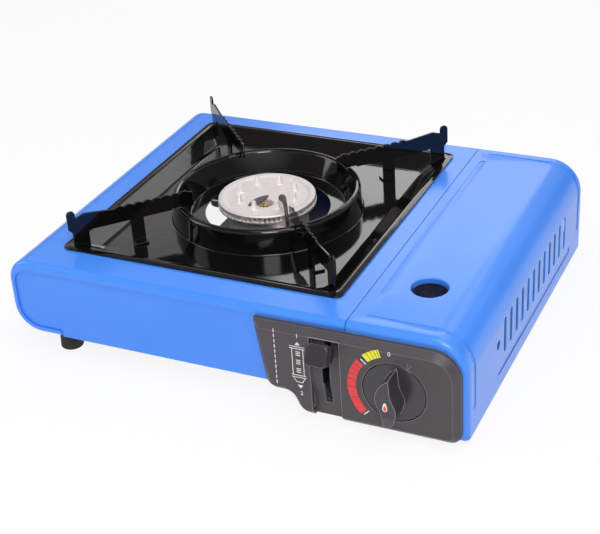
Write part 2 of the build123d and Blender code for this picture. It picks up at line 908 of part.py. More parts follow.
# Pan supports
blade_sheet = 1.6
blade_inner = 57.5
wave_start = 60.5
wave_count = 8
wave_pitch = 7.0
wave_height = 1.5
blade_low = 87.5
blade_top = 99.0
blade_rise = 101.3
rise_end = 139.0
lug_start = 145.5
lug_radius = 3.2
lug_top = 101.6
outer_leg_start = 137.0
outer_leg_end = 149.0
mid_leg_start = 96.0
mid_leg_end = 106.0
foot_run = 8.0
notch_inner = 61.8
notch_outer = 74.0
notch_top = 88.6
leg_drop_out = 0.4
leg_drop_in = 4.6


def pan_support(x_sign, y_sign):
    """Blade on a diagonal of the tray: wavy top, turned-up lug, notch over the ring, two legs and a foot."""
    wave_end = wave_start + wave_count * wave_pitch
    lug_end = lug_start + 2 * lug_radius
    edges = [Line((blade_inner, blade_low), (blade_inner, blade_top))]
    edges.append(Line((blade_inner, blade_top), (wave_start, blade_top)))
    for i in range(wave_count):
        start = wave_start + i * wave_pitch
        middle = (start + wave_pitch / 2, blade_top + wave_height)
        edges.append(ThreePointArc((start, blade_top), middle, (start + wave_pitch, blade_top)))
    rise = [(wave_end, blade_top), (rise_end, blade_rise), (lug_start, blade_top), (lug_start, lug_top)]
    edges.append(Polyline(*rise))
    lug_crown = (lug_start + lug_radius, lug_top + lug_radius)
    edges.append(ThreePointArc((lug_start, lug_top), lug_crown, (lug_end, lug_top)))
    outline = [
        (lug_end, lug_top),
        (lug_end, blade_low + lug_radius),
        (outer_leg_end, blade_low),
        (outer_leg_end, tray_top + leg_drop_out),
        (outer_leg_start, tray_top - leg_drop_in),
        (outer_leg_start, blade_low),
        (mid_leg_end, blade_low),
        (mid_leg_end, tray_floor),
        (mid_leg_start, tray_floor),
        (mid_leg_start, blade_low),
        (notch_outer, blade_low),
        (notch_outer, notch_top),
        (notch_inner, notch_top),
        (notch_inner, blade_low),
        (blade_inner, blade_low),
    ]
    edges.append(Polyline(*outline))
    face = make_face(Curve() + edges)
    blade = extrude(Plane.XZ * face, amount=blade_sheet / 2, both=True)
    foot_middle = (mid_leg_start + mid_leg_end) / 2
    foot = Pos(foot_middle, foot_run / 2, tray_floor + blade_sheet / 2)
    blade += foot * Box(mid_leg_end - mid_leg_start, foot_run, blade_sheet)
    turn = degrees(atan2(y_sign * tray_length, x_sign * tray_width))
    return Pos(burner_x, front_y + burner_depth, 0) * Rot(0, 0, turn) * blade


# Control panel outline
panel_top = 70.5
panel_bottom = 3.0
panel_step_height = 18.0
panel_left_inset = 147.6
panel_lean = 7.9
panel_step_inset = 122.0
panel_step_run = 7.0
panel_right_inset = 3.7
panel_corner = 20.0
panel_low_corner = 8.0
panel_step_radius = 9.0
panel_bevel = 4.5
panel_bevel_deep = 4.5
panel_wall = 2.0
panel_pocket_inset = 7.0
panel_gap = 0.4
dial_clearance = 0.6
dial_sink = 3.2
dial_wall = 2.0
skirt_radius = 21.5
spindle_clearance = 1.0
boss_radius = 3.5
boss_left_inset = 131.5
boss_right_inset = 15.5
boss_high_drop = 11.0
boss_low_rise = 23.0
panel_screw_radius = 1.5
panel_screw_run = 6.0
pointer_turn = 25.0
pointer_side = 4.0
pointer_gap = 0.6
pointer_depth = 0.8


def boss_places():
    """X and height of the four screw bosses."""
    across = (right_x - boss_left_inset, right_x - boss_right_inset)
    return [(x, z) for x in across for z in (panel_top - boss_high_drop, panel_bottom + boss_low_rise)]


def panel_outline():
    """Front outline of the control panel: stepped bottom, leaning left edge, round upper right corner."""
    left = right_x - panel_left_inset
    right = right_x - panel_right_inset
    step = right_x - panel_step_inset
    return rounded_face(
        [
            (left, panel_top, 0),
            (left + panel_lean, panel_step_height, panel_low_corner),
            (step, panel_step_height, panel_step_radius),
            (step + panel_step_run, panel_bottom, panel_step_radius),
            (right, panel_bottom, panel_low_corner),
            (right, panel_top, panel_corner),
        ]
    )


def lever_channel(panel):
    """Add the channel that the lever runs in: side walls, roof and a rounded floor with its slot."""
    inner = (channel_left, channel_right)
    panel += block(
        (channel_left - channel_wall, channel_right + channel_wall),
        (panel_bevel_deep - panel_proud, channel_back),
        (panel_bottom + panel_wall, channel_top + channel_roof),
    )
    floor = rod_along_x(floor_axis_depth, channel_floor_height, channel_floor_radius, *inner)
    hollow = rod_along_x(
        floor_axis_depth, channel_floor_height, channel_floor_radius - channel_floor_wall, *inner
    )
    channel_span = (panel_bottom - overrun, channel_top)
    front = block(inner, (-panel_proud - overrun, channel_back + overrun), channel_span)
    panel -= front - floor
    panel -= hollow & block(inner, (-panel_proud, channel_back + overrun), channel_span)
    half = slot_width / 2
    return panel - block(
        (lever_x - half, lever_x + half), (-panel_proud, channel_back), (slot_low, slot_high)
    )


def control_panel():
    """Moulded panel: bevelled front, hollow back, dial recess, lever channel and screw bosses."""
    outline = panel_outline()
    panel = slab(outline, -panel_proud, -panel_gap)
    panel = chamfer(panel.edges().group_by(Axis.Y)[0], panel_bevel_deep, panel_bevel)
    pocket = offset(outline, amount=-panel_pocket_inset)
    panel -= slab(pocket, panel_wall - panel_proud, overrun)
    dial_radius = skirt_radius + dial_clearance
    dial_floor = dial_sink - panel_proud
    back = (panel_wall - panel_proud, dial_floor + dial_wall)
    panel += rod_along_y(knob_x, knob_height, dial_radius + dial_wall, *back)
    panel -= rod_along_y(knob_x, knob_height, dial_radius, -panel_proud - overrun, dial_floor)
    panel -= rod_along_y(knob_x, knob_height, spindle_radius + spindle_clearance, -panel_proud, overrun)
    for x, z in boss_places():
        panel += rod_along_y(x, z, boss_radius, panel_wall - panel_proud, sheet_near)
        panel -= rod_along_y(x, z, panel_screw_radius + running_gap, sheet_near - panel_screw_run, overrun)
    reach = dial_radius + pointer_gap + pointer_side / 2
    pointer = Pos(knob_x, knob_height) * Rot(0, 0, -pointer_turn) * Pos(0, reach)
    triangle = pointer * RegularPolygon(pointer_side / 2, 3, rotation=-90)
    notch = slab(triangle, -panel_proud - overrun, pointer_depth - panel_proud)
    return lever_channel(panel - notch)


def panel_screws():
    """Screws from behind the front sheet into the panel's bosses."""
    screws = []
    for x, z in boss_places():
        head = rod_along_y(x, z, 2 * panel_screw_radius, sheet_far, sheet_far + panel_screw_radius)
        near = sheet_near - panel_screw_run + sheet
        screws.append(head + rod_along_y(x, z, panel_screw_radius, near, sheet_far + sheet / 2))
    return Compound(screws)


# Knob and spindle
skirt_proud = 0.3
skirt_thickness = 3.0
grip_half_length = 19.1
grip_half_width = 7.0
grip_flat_end = 8.4
grip_end_drop = 3.0
knob_edge = 1.0
spindle_near = 14.0
grip_shares = (
    (0.3, 1.0),
    (0.4, 0.7),
    (0.47, 0.36),
    (0.76, 0.07),
    (1.0, -0.22),
    (0.88, -0.52),
    (0.59, -0.78),
    (0.14, -0.95),
    (-0.24, -0.98),
    (-0.42, -0.82),
    (-0.42, -0.58),
    (-0.52, -0.3),
    (-0.88, -0.02),
    (-1.0, 0.3),
    (-0.68, 0.62),
    (-0.1, 0.89),
    (0.3, 1.0),
)


def knob_grip():
    """S-shaped fin with a pointed upper end; its face falls away below the middle."""
    points = [(x * grip_half_width, z * grip_half_length) for x, z in grip_shares]
    face = make_face(Spline(*points))
    fin = slab(Pos(knob_x, knob_height) * face, -knob_reach, -panel_proud)
    crease = Vector(knob_x, front_y - knob_reach, knob_height - grip_flat_end)
    fall = Vector(0, grip_end_drop, grip_flat_end - grip_half_length)
    cut = Plane(crease, x_dir=(1, 0, 0), z_dir=Vector(1, 0, 0).cross(fall))
    return split(fin, bisect_by=cut, keep=Keep.TOP)


def control_knob():
    """Round skirt in the dial recess, with the grip and a socket for the spindle."""
    near = -panel_proud - skirt_proud
    skirt = rod_along_y(knob_x, knob_height, skirt_radius, near, near + skirt_thickness)
    skirt = fillet(skirt.edges().group_by(Axis.Y)[0], knob_edge)
    knob = skirt + knob_grip()
    return knob - rod_along_y(knob_x, knob_height, spindle_radius, -spindle_near, overrun)


def valve_spindle():
    """Shaft from the knob into the gas valve."""
    return rod_along_y(knob_x, knob_height, spindle_radius, -spindle_near, spindle_far)


# Lock lever and what it works
lever_rest_angle = 27.0
lever_reach = 54.0
lever_thickness = 4.4
arm_height = 7.0
hub_radius = 6.0
cap_width = 15.5
cap_height = 15.0
cap_thickness = 6.0
cap_corner = 3.5
cap_edge = 1.5
crank_radius = 7.0
crank_pin_radius = 2.0
crank_pin_run = 3.2
lever_pin_radius = 2.0
frame_left_gap = 6.0
frame_right_gap = 7.2
frame_sheet = 1.5
frame_near = 20.0
frame_far = 40.0
frame_rise = 7.0
carriage_gap = 1.5
carriage_sheet = 1.5
carriage_near = 26.0
carriage_far = 66.0
carriage_slot_gap = 0.3
claw_reach = 22.0
rail_height = 1.5

crank_depth = lever_pivot_depth + crank_radius * sin(radians(lever_rest_angle))
crank_height = lever_pivot_height + crank_radius * cos(radians(lever_rest_angle))
carriage_x = lever_x + lever_thickness / 2 + carriage_gap


def lock_lever():
    """Lever: hub on its pin, an arm out through the slot, a thumb cap and a crank pin for the slide."""
    half = lever_thickness / 2
    place = Pos(lever_x, front_y + lever_pivot_depth, lever_pivot_height) * Rot(-lever_rest_angle, 0, 0)
    arm = Pos(0, -lever_reach / 2, 0) * Box(lever_thickness, lever_reach, arm_height)
    hub = Rot(0, 90, 0) * Cylinder(hub_radius, lever_thickness)
    cap = Pos(0, -lever_reach, 0) * Box(cap_width, cap_thickness, cap_height)
    cap = fillet(cap.edges().filter_by(Axis.Y), cap_corner)
    cap = fillet(cap.edges().group_by(Axis.Y)[0], cap_edge)
    web = Pos(0, 0, crank_radius / 2) * Box(lever_thickness, 2 * crank_pin_radius, crank_radius)
    crank_end = half + carriage_gap + carriage_sheet + fit_gap
    pin_middle = (crank_end - half) / 2
    pin = Pos(pin_middle, 0, crank_radius) * Rot(0, 90, 0) * Cylinder(crank_pin_radius, crank_end + half)
    lever = place * (arm + hub + cap) + crank_place() * (web + pin)
    span = (lever_x - half - overrun, lever_x + half + overrun)
    return lever - rod_along_x(lever_pivot_depth, lever_pivot_height, lever_pin_radius + running_gap, *span)


def crank_place():
    """The crank stands upright half way through the lever's travel."""
    return Pos(lever_x, front_y + lever_pivot_depth, lever_pivot_height) * Rot(-lever_rest_angle, 0, 0)


def lever_bracket():
    """U-shaped frame on the bay's floor: two cheeks for the pin and a rail under the slide."""
    floor = low_height + sheet
    top = lever_pivot_height + frame_rise
    left = lever_x - lever_thickness / 2 - frame_left_gap
    right = lever_x + lever_thickness / 2 + frame_right_gap
    depth = (frame_near, frame_far)
    frame = block((left, right), depth, (floor, floor + frame_sheet))
    frame += block((left, left + frame_sheet), depth, (floor, top))
    frame += block((right - frame_sheet, right), depth, (floor, top))
    rail_top = carriage_low - fit_gap
    frame += block((carriage_x, right - frame_sheet), depth, (rail_top - rail_height, rail_top))
    return frame - rod_along_x(
        lever_pivot_depth, lever_pivot_height, lever_pin_radius + running_gap, left - overrun, right + overrun
    )


def lever_pin():
    """Pin through the cheeks and the lever's hub."""
    left = lever_x - lever_thickness / 2 - frame_left_gap
    right = lever_x + lever_thickness / 2 + frame_right_gap
    return rod_along_x(lever_pivot_depth, lever_pivot_height, lever_pin_radius, left, right)


def lock_carriage():
    """Slide driven by the crank pin, with a claw that reaches into the bay to draw the cartridge in."""
    across = (carriage_x, carriage_x + carriage_sheet)
    plate = block(across, (carriage_near, carriage_far), (carriage_low, carriage_high))
    claw = block(
        (carriage_x, partition_x + claw_reach),
        (carriage_far - carriage_sheet, carriage_far),
        (carriage_low, carriage_high),
    )
    slot_half = crank_pin_radius + carriage_slot_gap
    slot_top = lever_pivot_height + crank_radius + slot_half
    slot = block(
        (carriage_x - overrun, carriage_x + carriage_sheet + overrun),
        (crank_depth - slot_half, crank_depth + slot_half),
        (crank_height - slot_half, slot_top),
    )
    return plate + claw - slot


def hinge_pins():
    """Pins in the end sheets that the lid's ears turn on."""
    length = sheet_far + sheet
    front = rod_along_y(pivot_x, pivot_height, pin_radius, 0, length)
    rear = rod_along_y(pivot_x, pivot_height, pin_radius, body_depth - length, body_depth)
    return Compound([front, rear])


# Rubber feet
foot_radius = 8.5
foot_taper = 1.0
foot_edge = 1.5
left_foot_inset = 32.5
right_foot_inset = 32.0
foot_margin = 19.0


def rubber_feet():
    """Two tall feet under the heel and two pads under the bay."""
    feet = []
    for x, top in ((left_x + left_foot_inset, floor_height), (right_x - right_foot_inset, low_height)):
        for depth in (foot_margin, body_depth - foot_margin):
            face = rounded_face(
                [
                    (0, 0, 0),
                    (foot_radius, 0, foot_edge),
                    (foot_radius - foot_taper, top, 0),
                    (0, top, 0),
                ]
            )
            feet.append(turned(face, x, depth))
    return Compound(feet)


def build():
    """Every piece by its name."""
    makers = (
        top_shell,
        cartridge_lid,
        front_panel,
        rear_panel,
        base_plate,
        bay_pan,
        partition,
        cartridge_cradle,
        valve_bracket,
        regulator,
        inlet_seal,
        piezo_igniter,
        burner_base,
        burner_head,
        burner_bracket,
        burner_screws,
        electrode_insulator,
        electrode_tip,
        spark_target,
        mixing_tube,
        injector,
        gas_pipe,
        ignition_lead,
        drip_tray,
        control_panel,
        panel_screws,
        control_knob,
        valve_spindle,
        lock_lever,
        lever_bracket,
        lever_pin,
        lock_carriage,
        hinge_pins,
        rubber_feet,
    )
    pieces = {maker.__name__: maker() for maker in makers}
    for x_side, x_sign in (("left", -1), ("right", 1)):
        for y_side, y_sign in (("front", -1), ("rear", 1)):
            pieces[f"pan_support_{y_side}_{x_side}"] = pan_support(x_sign, y_sign)
    return pieces


for name, piece in build().items():
    export_step(piece, f"parts/{name}.step")
    print(name, len(piece.solids()), round(piece.volume))
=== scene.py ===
# %% [markdown]
# # A portable gas stove, dressed for the camera
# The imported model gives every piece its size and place. This lesson adds what a solid can't show:
# gloss paint, glassy enamel, moulded plastic, cast and galvanised metal, rounded edges and the
# printed dial. Everything is in metres, and lengths are written in millimetres times `MM`, as a
# maker would read them.

# %% Load the frame
import json
from math import asin, cos, pi, radians, sin, tan

import bmesh
import bpy
from mathutils import Matrix, Vector
from mathutils.geometry import interpolate_bezier


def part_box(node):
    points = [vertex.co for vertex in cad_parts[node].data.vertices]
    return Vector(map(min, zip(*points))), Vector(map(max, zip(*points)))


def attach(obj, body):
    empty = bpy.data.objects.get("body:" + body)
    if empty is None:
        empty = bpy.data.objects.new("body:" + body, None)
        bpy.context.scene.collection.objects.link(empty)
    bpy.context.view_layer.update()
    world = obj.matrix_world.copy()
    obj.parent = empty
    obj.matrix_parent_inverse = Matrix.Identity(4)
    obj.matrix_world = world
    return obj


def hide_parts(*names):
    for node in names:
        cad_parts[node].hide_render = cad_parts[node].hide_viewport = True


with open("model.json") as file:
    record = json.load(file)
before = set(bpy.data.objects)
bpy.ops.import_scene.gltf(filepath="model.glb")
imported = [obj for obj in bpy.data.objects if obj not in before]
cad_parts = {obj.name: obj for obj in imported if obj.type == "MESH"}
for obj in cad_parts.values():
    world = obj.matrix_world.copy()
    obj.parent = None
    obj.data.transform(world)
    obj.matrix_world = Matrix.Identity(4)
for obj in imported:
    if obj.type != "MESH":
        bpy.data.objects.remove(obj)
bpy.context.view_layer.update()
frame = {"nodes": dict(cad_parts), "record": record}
MM = 0.001
scene = bpy.context.scene
scene.view_settings.view_transform = "Standard"
bodies = frame["record"]["behaviour"]["bodies"]
body_of = {node: body for body, nodes in bodies.items() for node in nodes}
slot_of = {part["node"]: part["material_slot"] for part in frame["record"]["subparts"]}
print("pieces in the frame:", len(body_of))

# %% [markdown]
# ## The camera
# The photograph was taken from the front right, a little above, with a long lens. The camera was
# fitted to the straight edges of the body, so its place and its three directions are written down
# here. A matrix built from those directions also keeps the slight roll, which a camera that is
# only aimed at a point would lose.

# %% Camera
eye = Vector((400.3, -815.1, 548.9)) * MM
forward = Vector((-0.385, 0.780, -0.494)).normalized()
sideways = Vector((0.909, 0.412, -0.058))
sideways = (sideways - forward * sideways.dot(forward)).normalized()
upward = sideways.cross(forward)
camera_data = bpy.data.cameras.new("camera")
camera_data.lens = 83.65
camera_data.sensor_width = 36
camera_data.clip_end = 20
camera = bpy.data.objects.new("camera", camera_data)
turn = Matrix((sideways, upward, -forward)).transposed()
camera.matrix_world = Matrix.Translation(eye) @ turn.to_4x4()
scene.collection.objects.link(camera)
scene.camera = camera
print("camera height in mm:", round(eye.z / MM))

# %% [markdown]
# ## One way to write a material
# A finish is a small tree of nodes. One function adds a node, sets its fields and connects its
# inputs, so each recipe below reads as a list. Colours are written as the hex values a painter
# would name, and one function turns them into the linear light that the renderer adds up.


# %% Nodes and colours
def linear(hex_code):
    """An sRGB hex colour as linear RGBA."""
    parts = [int(hex_code[i : i + 2], 16) / 255 for i in (1, 3, 5)]
    return [c / 12.92 if c <= 0.04045 else ((c + 0.055) / 1.055) ** 2.4 for c in parts] + [1]


def add(tree, kind, inputs=(), **settings):
    """Add a node with its settings; an input is either a value or another node's output."""
    node = tree.nodes.new(kind)
    for name, value in settings.items():
        setattr(node, name, value)
    for name, value in dict(inputs).items():
        if isinstance(value, bpy.types.NodeSocket):
            tree.links.new(value, node.inputs[name])
        else:
            node.inputs[name].default_value = value
    return node


def new_finish(name):
    """An empty material with a Principled shader, and the piece's own coordinates in metres."""
    material = bpy.data.materials.new(name)
    material.use_nodes = True
    tree = material.node_tree
    shader = tree.nodes["Principled BSDF"]
    place = add(tree, "ShaderNodeTexCoord").outputs["Object"]
    return material, tree, shader, place


def per_mm(size):
    """Texture scale that makes one feature about this many millimetres wide."""
    return 1 / (size * MM)


def set_shader(shader, **values):
    """Write constants straight onto the shader's sockets; underscores stand for spaces."""
    for name, value in values.items():
        shader.inputs[name.replace("_", " ")].default_value = value


finishes = {}
print("white in linear light:", linear("#ffffff")[:3])

# %% [markdown]
# ## Gloss paint on drawn steel
# The shell is steel sheet, drawn and then sprayed and baked. Baked gloss paint levels itself but
# keeps a faint orange peel, with bumps about 2 mm apart, which softens the edges of reflections.
# Wear and thin film make the tone wander very slightly over a hand's width. Two noise textures
# give both, and a thin clear coat gives the sharper shine on top.

# %% Blue paint
tone_drift = 90
peel_pitch = 2.2
peel_height = 0.2


def blue_paint():
    material, tree, shader, place = new_finish("baked_blue_gloss_paint")
    drift = {"Vector": place, "Scale": per_mm(tone_drift), "Detail": 2}
    cloud = add(tree, "ShaderNodeTexNoise", drift).outputs["Fac"]
    tone = add(tree, "ShaderNodeValToRGB", {"Fac": cloud})
    dark, light = tone.color_ramp.elements
    dark.position, light.position = 0.3, 0.7
    dark.color, light.color = linear("#3f89f6"), linear("#478ff8")
    bumps = {"Vector": place, "Scale": per_mm(peel_pitch), "Detail": 1}
    peel = add(tree, "ShaderNodeTexNoise", bumps).outputs["Fac"]
    relief = {"Height": peel, "Strength": 0.05, "Distance": peel_height * MM}
    bump = add(tree, "ShaderNodeBump", relief)
    tree.links.new(tone.outputs["Color"], shader.inputs["Base Color"])
    tree.links.new(bump.outputs["Normal"], shader.inputs["Normal"])
    set_shader(shader, Roughness=0.28, IOR=1.5, Coat_Weight=0.1, Coat_Roughness=0.1)
    return material


finishes["blue_paint"] = blue_paint()
print("made", finishes["blue_paint"].name)

# %% [markdown]
# ## Vitreous enamel
# The tray and the pan supports are dipped in glass frit and fired. Molten glass flows, so the
# surface is very smooth but slightly wavy, over about 14 mm, and bright lamps show in it as bent
# streaks. A low roughness with a weak, wide bump gives that look; the colour itself is nearly
# black.

# %% Black enamel
flow_pitch = 14
flow_height = 0.5
smear_size = 40


def black_enamel():
    material, tree, shader, place = new_finish("fired_black_enamel")
    waves = {"Vector": place, "Scale": per_mm(flow_pitch), "Detail": 1}
    flow = add(tree, "ShaderNodeTexNoise", waves).outputs["Fac"]
    relief = {"Height": flow, "Strength": 0.12, "Distance": flow_height * MM}
    bump = add(tree, "ShaderNodeBump", relief)
    smears = {"Vector": place, "Scale": per_mm(smear_size), "Detail": 4}
    smear = add(tree, "ShaderNodeTexNoise", smears).outputs["Fac"]
    gloss = add(tree, "ShaderNodeMapRange", {"Value": smear, "To Min": 0.04, "To Max": 0.13})
    tree.links.new(bump.outputs["Normal"], shader.inputs["Normal"])
    tree.links.new(gloss.outputs["Result"], shader.inputs["Roughness"])
    set_shader(shader, Base_Color=linear("#0b0a0a"), IOR=1.52)
    return material


finishes["black_enamel"] = black_enamel()
print("made", finishes["black_enamel"].name)

# %% [markdown]
# ## Moulded plastics
# The control panel is ABS from a spark-eroded mould: a fine grain, dull and dark grey. The knob,
# the lever and the igniter come from a smoother mould and shine more. One recipe with a grain
# size, a roughness and a colour serves both. Real grain is about 0.3 mm, so it is drawn a little
# coarser here, to show at the photograph's scale. The corners carry a painted highlight: the Bevel
# node gives the normal of a rounded corner, and where that leaves the face's own normal a corner is
# near, so the tone goes over to a pale painted highlight there.

# %% Panel and knob plastic
grain_height = 0.1
melt_flow = 25
corner_reach = 0.9
# Painted highlight on the corners: its pale tone, and where along the corner it begins and is full.
edge_highlight_colour = "#a29ea2"
highlight_begins = 0.985
highlight_full = 0.85


def moulded_plastic(name, colour, second, grain, depth, roughness):
    material, tree, shader, place = new_finish(name)
    grains = {"Vector": place, "Scale": per_mm(grain), "Detail": 3}
    grit = add(tree, "ShaderNodeTexNoise", grains).outputs["Fac"]
    relief = {"Height": grit, "Strength": depth, "Distance": grain_height * MM}
    bump = add(tree, "ShaderNodeBump", relief)
    streaks = {"Vector": place, "Scale": per_mm(melt_flow), "Detail": 2}
    flow = add(tree, "ShaderNodeTexNoise", streaks).outputs["Fac"]
    tone = add(tree, "ShaderNodeValToRGB", {"Fac": flow})
    tone.color_ramp.elements[0].color = linear(colour)
    tone.color_ramp.elements[1].color = linear(second)
    # Painted highlight: near a corner the base colour goes over to a pale tone that stands in for
    # the shine of a rounded edge.
    rounded = add(tree, "ShaderNodeBevel", {"Radius": corner_reach * MM}, samples=8)
    flat = add(tree, "ShaderNodeNewGeometry").outputs["True Normal"]
    normals = {0: rounded.outputs["Normal"], 1: flat}
    match = add(tree, "ShaderNodeVectorMath", normals, operation="DOT_PRODUCT").outputs["Value"]
    limits = {"Value": match, "From Min": highlight_begins, "From Max": highlight_full}
    painted_highlight = add(tree, "ShaderNodeMapRange", limits).outputs["Result"]
    tones = {"Fac": painted_highlight, "Color1": tone.outputs["Color"], "Color2": linear(edge_highlight_colour)}
    base = add(tree, "ShaderNodeMixRGB", tones)
    tree.links.new(base.outputs["Color"], shader.inputs["Base Color"])
    tree.links.new(bump.outputs["Normal"], shader.inputs["Normal"])
    set_shader(shader, Roughness=roughness, IOR=1.53)
    return material


plastics = {
    "panel_plastic": ("grained_dark_abs", "#413c40", "#484347", 0.7, 0.35, 0.48),
    "knob_plastic": ("satin_black_abs", "#343136", "#3b383d", 0.5, 0.06, 0.2),
}
for slot, recipe in plastics.items():
    finishes[slot] = moulded_plastic(*recipe)
print("plastics:", [finishes[slot].name for slot in plastics])

# %% [markdown]
# ## Bare metals
# Zinc-dipped sheet freezes into flat crystals, the spangle, a few millimetres across, and each
# crystal shines a little differently. The burner's castings are aluminium, blasted with sand:
# paler, matt and finely pitted. Both start from a cell or noise texture that moves the roughness
# and the tone. Turned brass and plated steel are smoother and plainer. The pits are drawn about 1
# mm wide, coarser than real ones, so that they show.

# %% Galvanised sheet, castings, brass and plated steel
pit_pitch = 1.1
pit_depth = 0.25


def bare_metal(name, dark, light, feature, rough_low, rough_high, pits=0.0, spangle=False):
    material, tree, shader, place = new_finish(name)
    if spangle:
        crystals = {"Vector": place, "Scale": per_mm(feature)}
        cells = add(tree, "ShaderNodeTexVoronoi", crystals).outputs["Color"]
        value = add(tree, "ShaderNodeSeparateColor", {"Color": cells}).outputs["Red"]
    else:
        clouds = {"Vector": place, "Scale": per_mm(feature), "Detail": 4}
        value = add(tree, "ShaderNodeTexNoise", clouds).outputs["Fac"]
    tone = add(tree, "ShaderNodeValToRGB", {"Fac": value})
    tone.color_ramp.elements[0].color = linear(dark)
    tone.color_ramp.elements[1].color = linear(light)
    shine = {"Value": value, "To Min": rough_low, "To Max": rough_high}
    gloss = add(tree, "ShaderNodeMapRange", shine)
    tree.links.new(tone.outputs["Color"], shader.inputs["Base Color"])
    tree.links.new(gloss.outputs["Result"], shader.inputs["Roughness"])
    if pits:
        blasting = {"Vector": place, "Scale": per_mm(pit_pitch), "Detail": 4}
        sand = add(tree, "ShaderNodeTexNoise", blasting).outputs["Fac"]
        relief = {"Height": sand, "Strength": pits, "Distance": pit_depth * MM}
        bump = add(tree, "ShaderNodeBump", relief)
        tree.links.new(bump.outputs["Normal"], shader.inputs["Normal"])
    set_shader(shader, Metallic=1.0)
    return material


finishes["galvanised_steel"] = bare_metal(
    "galvanised_sheet", "#c4c6ca", "#dddee2", 6, 0.5, 0.7, spangle=True
)
finishes["cast_aluminium"] = bare_metal(
    "sand_blasted_aluminium", "#f1ebeb", "#fdfafa", 5, 0.6, 0.74, pits=0.3
)
finishes["brass"] = bare_metal("turned_brass", "#b58b3c", "#d0a650", 3, 0.2, 0.32)
finishes["bright_steel"] = bare_metal("zinc_plated_steel", "#b9bbbd", "#d2d4d6", 4, 0.2, 0.3)
print("finishes so far:", [finish.name for finish in finishes.values()])

# %% [markdown]
# ## Ceramic, rubber, burnt steel and ink
# Glazed ceramic is pale and glossy; rubber is dull and slightly dusty. Steel next to the flame
# grows a dark brown scale that hides the metal's shine. The dial is printed, so its inks are flat
# films with a satin surface, and a fine mottle where the pad left a little less ink.


# %% Small finishes
def plain_finish(name, colour, second, feature, roughness, ior=1.5):
    material, tree, shader, place = new_finish(name)
    blotches = {"Vector": place, "Scale": per_mm(feature), "Detail": 3}
    mottle = add(tree, "ShaderNodeTexNoise", blotches).outputs["Fac"]
    tone = add(tree, "ShaderNodeValToRGB", {"Fac": mottle})
    tone.color_ramp.elements[0].color = linear(colour)
    tone.color_ramp.elements[1].color = linear(second)
    tree.links.new(tone.outputs["Color"], shader.inputs["Base Color"])
    set_shader(shader, Roughness=roughness, IOR=ior)
    return material


finishes["ceramic"] = plain_finish("glazed_ceramic", "#dfdbd0", "#ece8de", 4, 0.12)
finishes["rubber"] = plain_finish("dull_black_rubber", "#232323", "#2e2d2c", 3, 0.75)
burnt_steel = plain_finish("heat_darkened_steel", "#3a3634", "#4c4744", 2.5, 0.42)
inks = {
    "white": plain_finish("white_print", "#e6e6e6", "#f2f2f2", 1.5, 0.45),
    "red": plain_finish("red_print", "#e2353a", "#ea4046", 1.5, 0.45),
    "yellow": plain_finish("yellow_print", "#f0e420", "#f6ec34", 1.5, 0.45),
}
print("finishes in all:", len(finishes) + len(inks) + 1)

# %% [markdown]
# ## Skins for the pieces that keep their shape
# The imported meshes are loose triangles, so light would show every facet. A copy is merged, which
# joins the triangles, its long edges can be rounded with a small bevel, and its normals are
# smoothed except at real corners. The weighted-normal modifier lets the large flat faces keep
# their flatness. A piece drawn as one face of a sheet gets its thickness and a rolled rim from
# two more modifiers.

# %% From a bmesh to a piece
rim_share = 4
rim_fold = 60


def finish_piece(name, bm, body, material, nodes=(), corner=35, sheet=0):
    """Turn a bmesh into a piece that rides on a body, has a slot's finish and stands for nodes."""
    mesh = bpy.data.meshes.new(name)
    bm.to_mesh(mesh)
    bm.free()
    mesh.materials.append(material)
    mesh.shade_smooth()
    mesh.set_sharp_from_angle(angle=radians(corner))
    piece = bpy.data.objects.new(name, mesh)
    scene.collection.objects.link(piece)
    if sheet:
        wall = piece.modifiers.new("sheet_thickness", "SOLIDIFY")
        wall.thickness = sheet * MM
        wall.offset = -1
        wall.use_even_offset = True
        rim = piece.modifiers.new("rolled_rim", "BEVEL")
        rim.width = sheet * MM / rim_share
        rim.segments = 2
        rim.limit_method = "ANGLE"
        rim.angle_limit = radians(rim_fold)
    weighted = piece.modifiers.new("even_normals", "WEIGHTED_NORMAL")
    weighted.keep_sharp = True
    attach(piece, body)
    if nodes:
        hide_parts(*nodes)
    return piece


print("bodies to ride on:", sorted(bodies))

# %% Skins
merge_reach = 0.002
flat_fold = 0.4
rounding_of = {"control_panel": 0.5, "control_knob": 0.7, "lock_lever": 0.6}
support_rounding = 0.35
drawn_below = ("drip_tray", "burner_head", "spark_target")


def merged_copy(node):
    """A CAD node's triangles joined into one skin."""
    bm = bmesh.new()
    bm.from_mesh(frame["nodes"][node].data)
    bmesh.ops.remove_doubles(bm, verts=bm.verts, dist=merge_reach * MM)
    return bm


def round_corners(bm, rounding, fold=40, segments=2):
    """Bevel every edge that folds by more than an angle."""
    bmesh.ops.dissolve_limit(bm, angle_limit=radians(flat_fold), verts=bm.verts, edges=bm.edges)
    folded = [e for e in bm.edges if len(e.link_faces) == 2]
    sharp = [e for e in folded if e.calc_face_angle() > radians(fold)]
    bmesh.ops.bevel(
        bm,
        geom=sharp,
        offset=rounding * MM,
        offset_type="OFFSET",
        affect="EDGES",
        segments=segments,
        profile=0.5,
        material=-1,
        clamp_overlap=True,
    )


skins = {}
for node in sorted(set(body_of) - set(drawn_below)):
    bm = merged_copy(node)
    if node in rounding_of:
        round_corners(bm, rounding_of[node])
    elif node.startswith("pan_support"):
        round_corners(bm, support_rounding)
    slot = slot_of[node]
    skins[node] = finish_piece(node + "_skin", bm, body_of[node], finishes[slot], [node])
print("skins:", len(skins), "faces:", sum(len(o.data.polygons) for o in skins.values()))

# %% [markdown]
# ## The floor of the lever's channel
# On the real panel this floor is one smooth curve that runs down to the lower edge, with a slot
# for the lever. The solid's floor is stepped and ends higher, so a thin moulded floor is laid
# over it. Its section is an arc, spun from one point, and a straight run; the section is drawn
# sideways into a strip, cut by planes and opened.

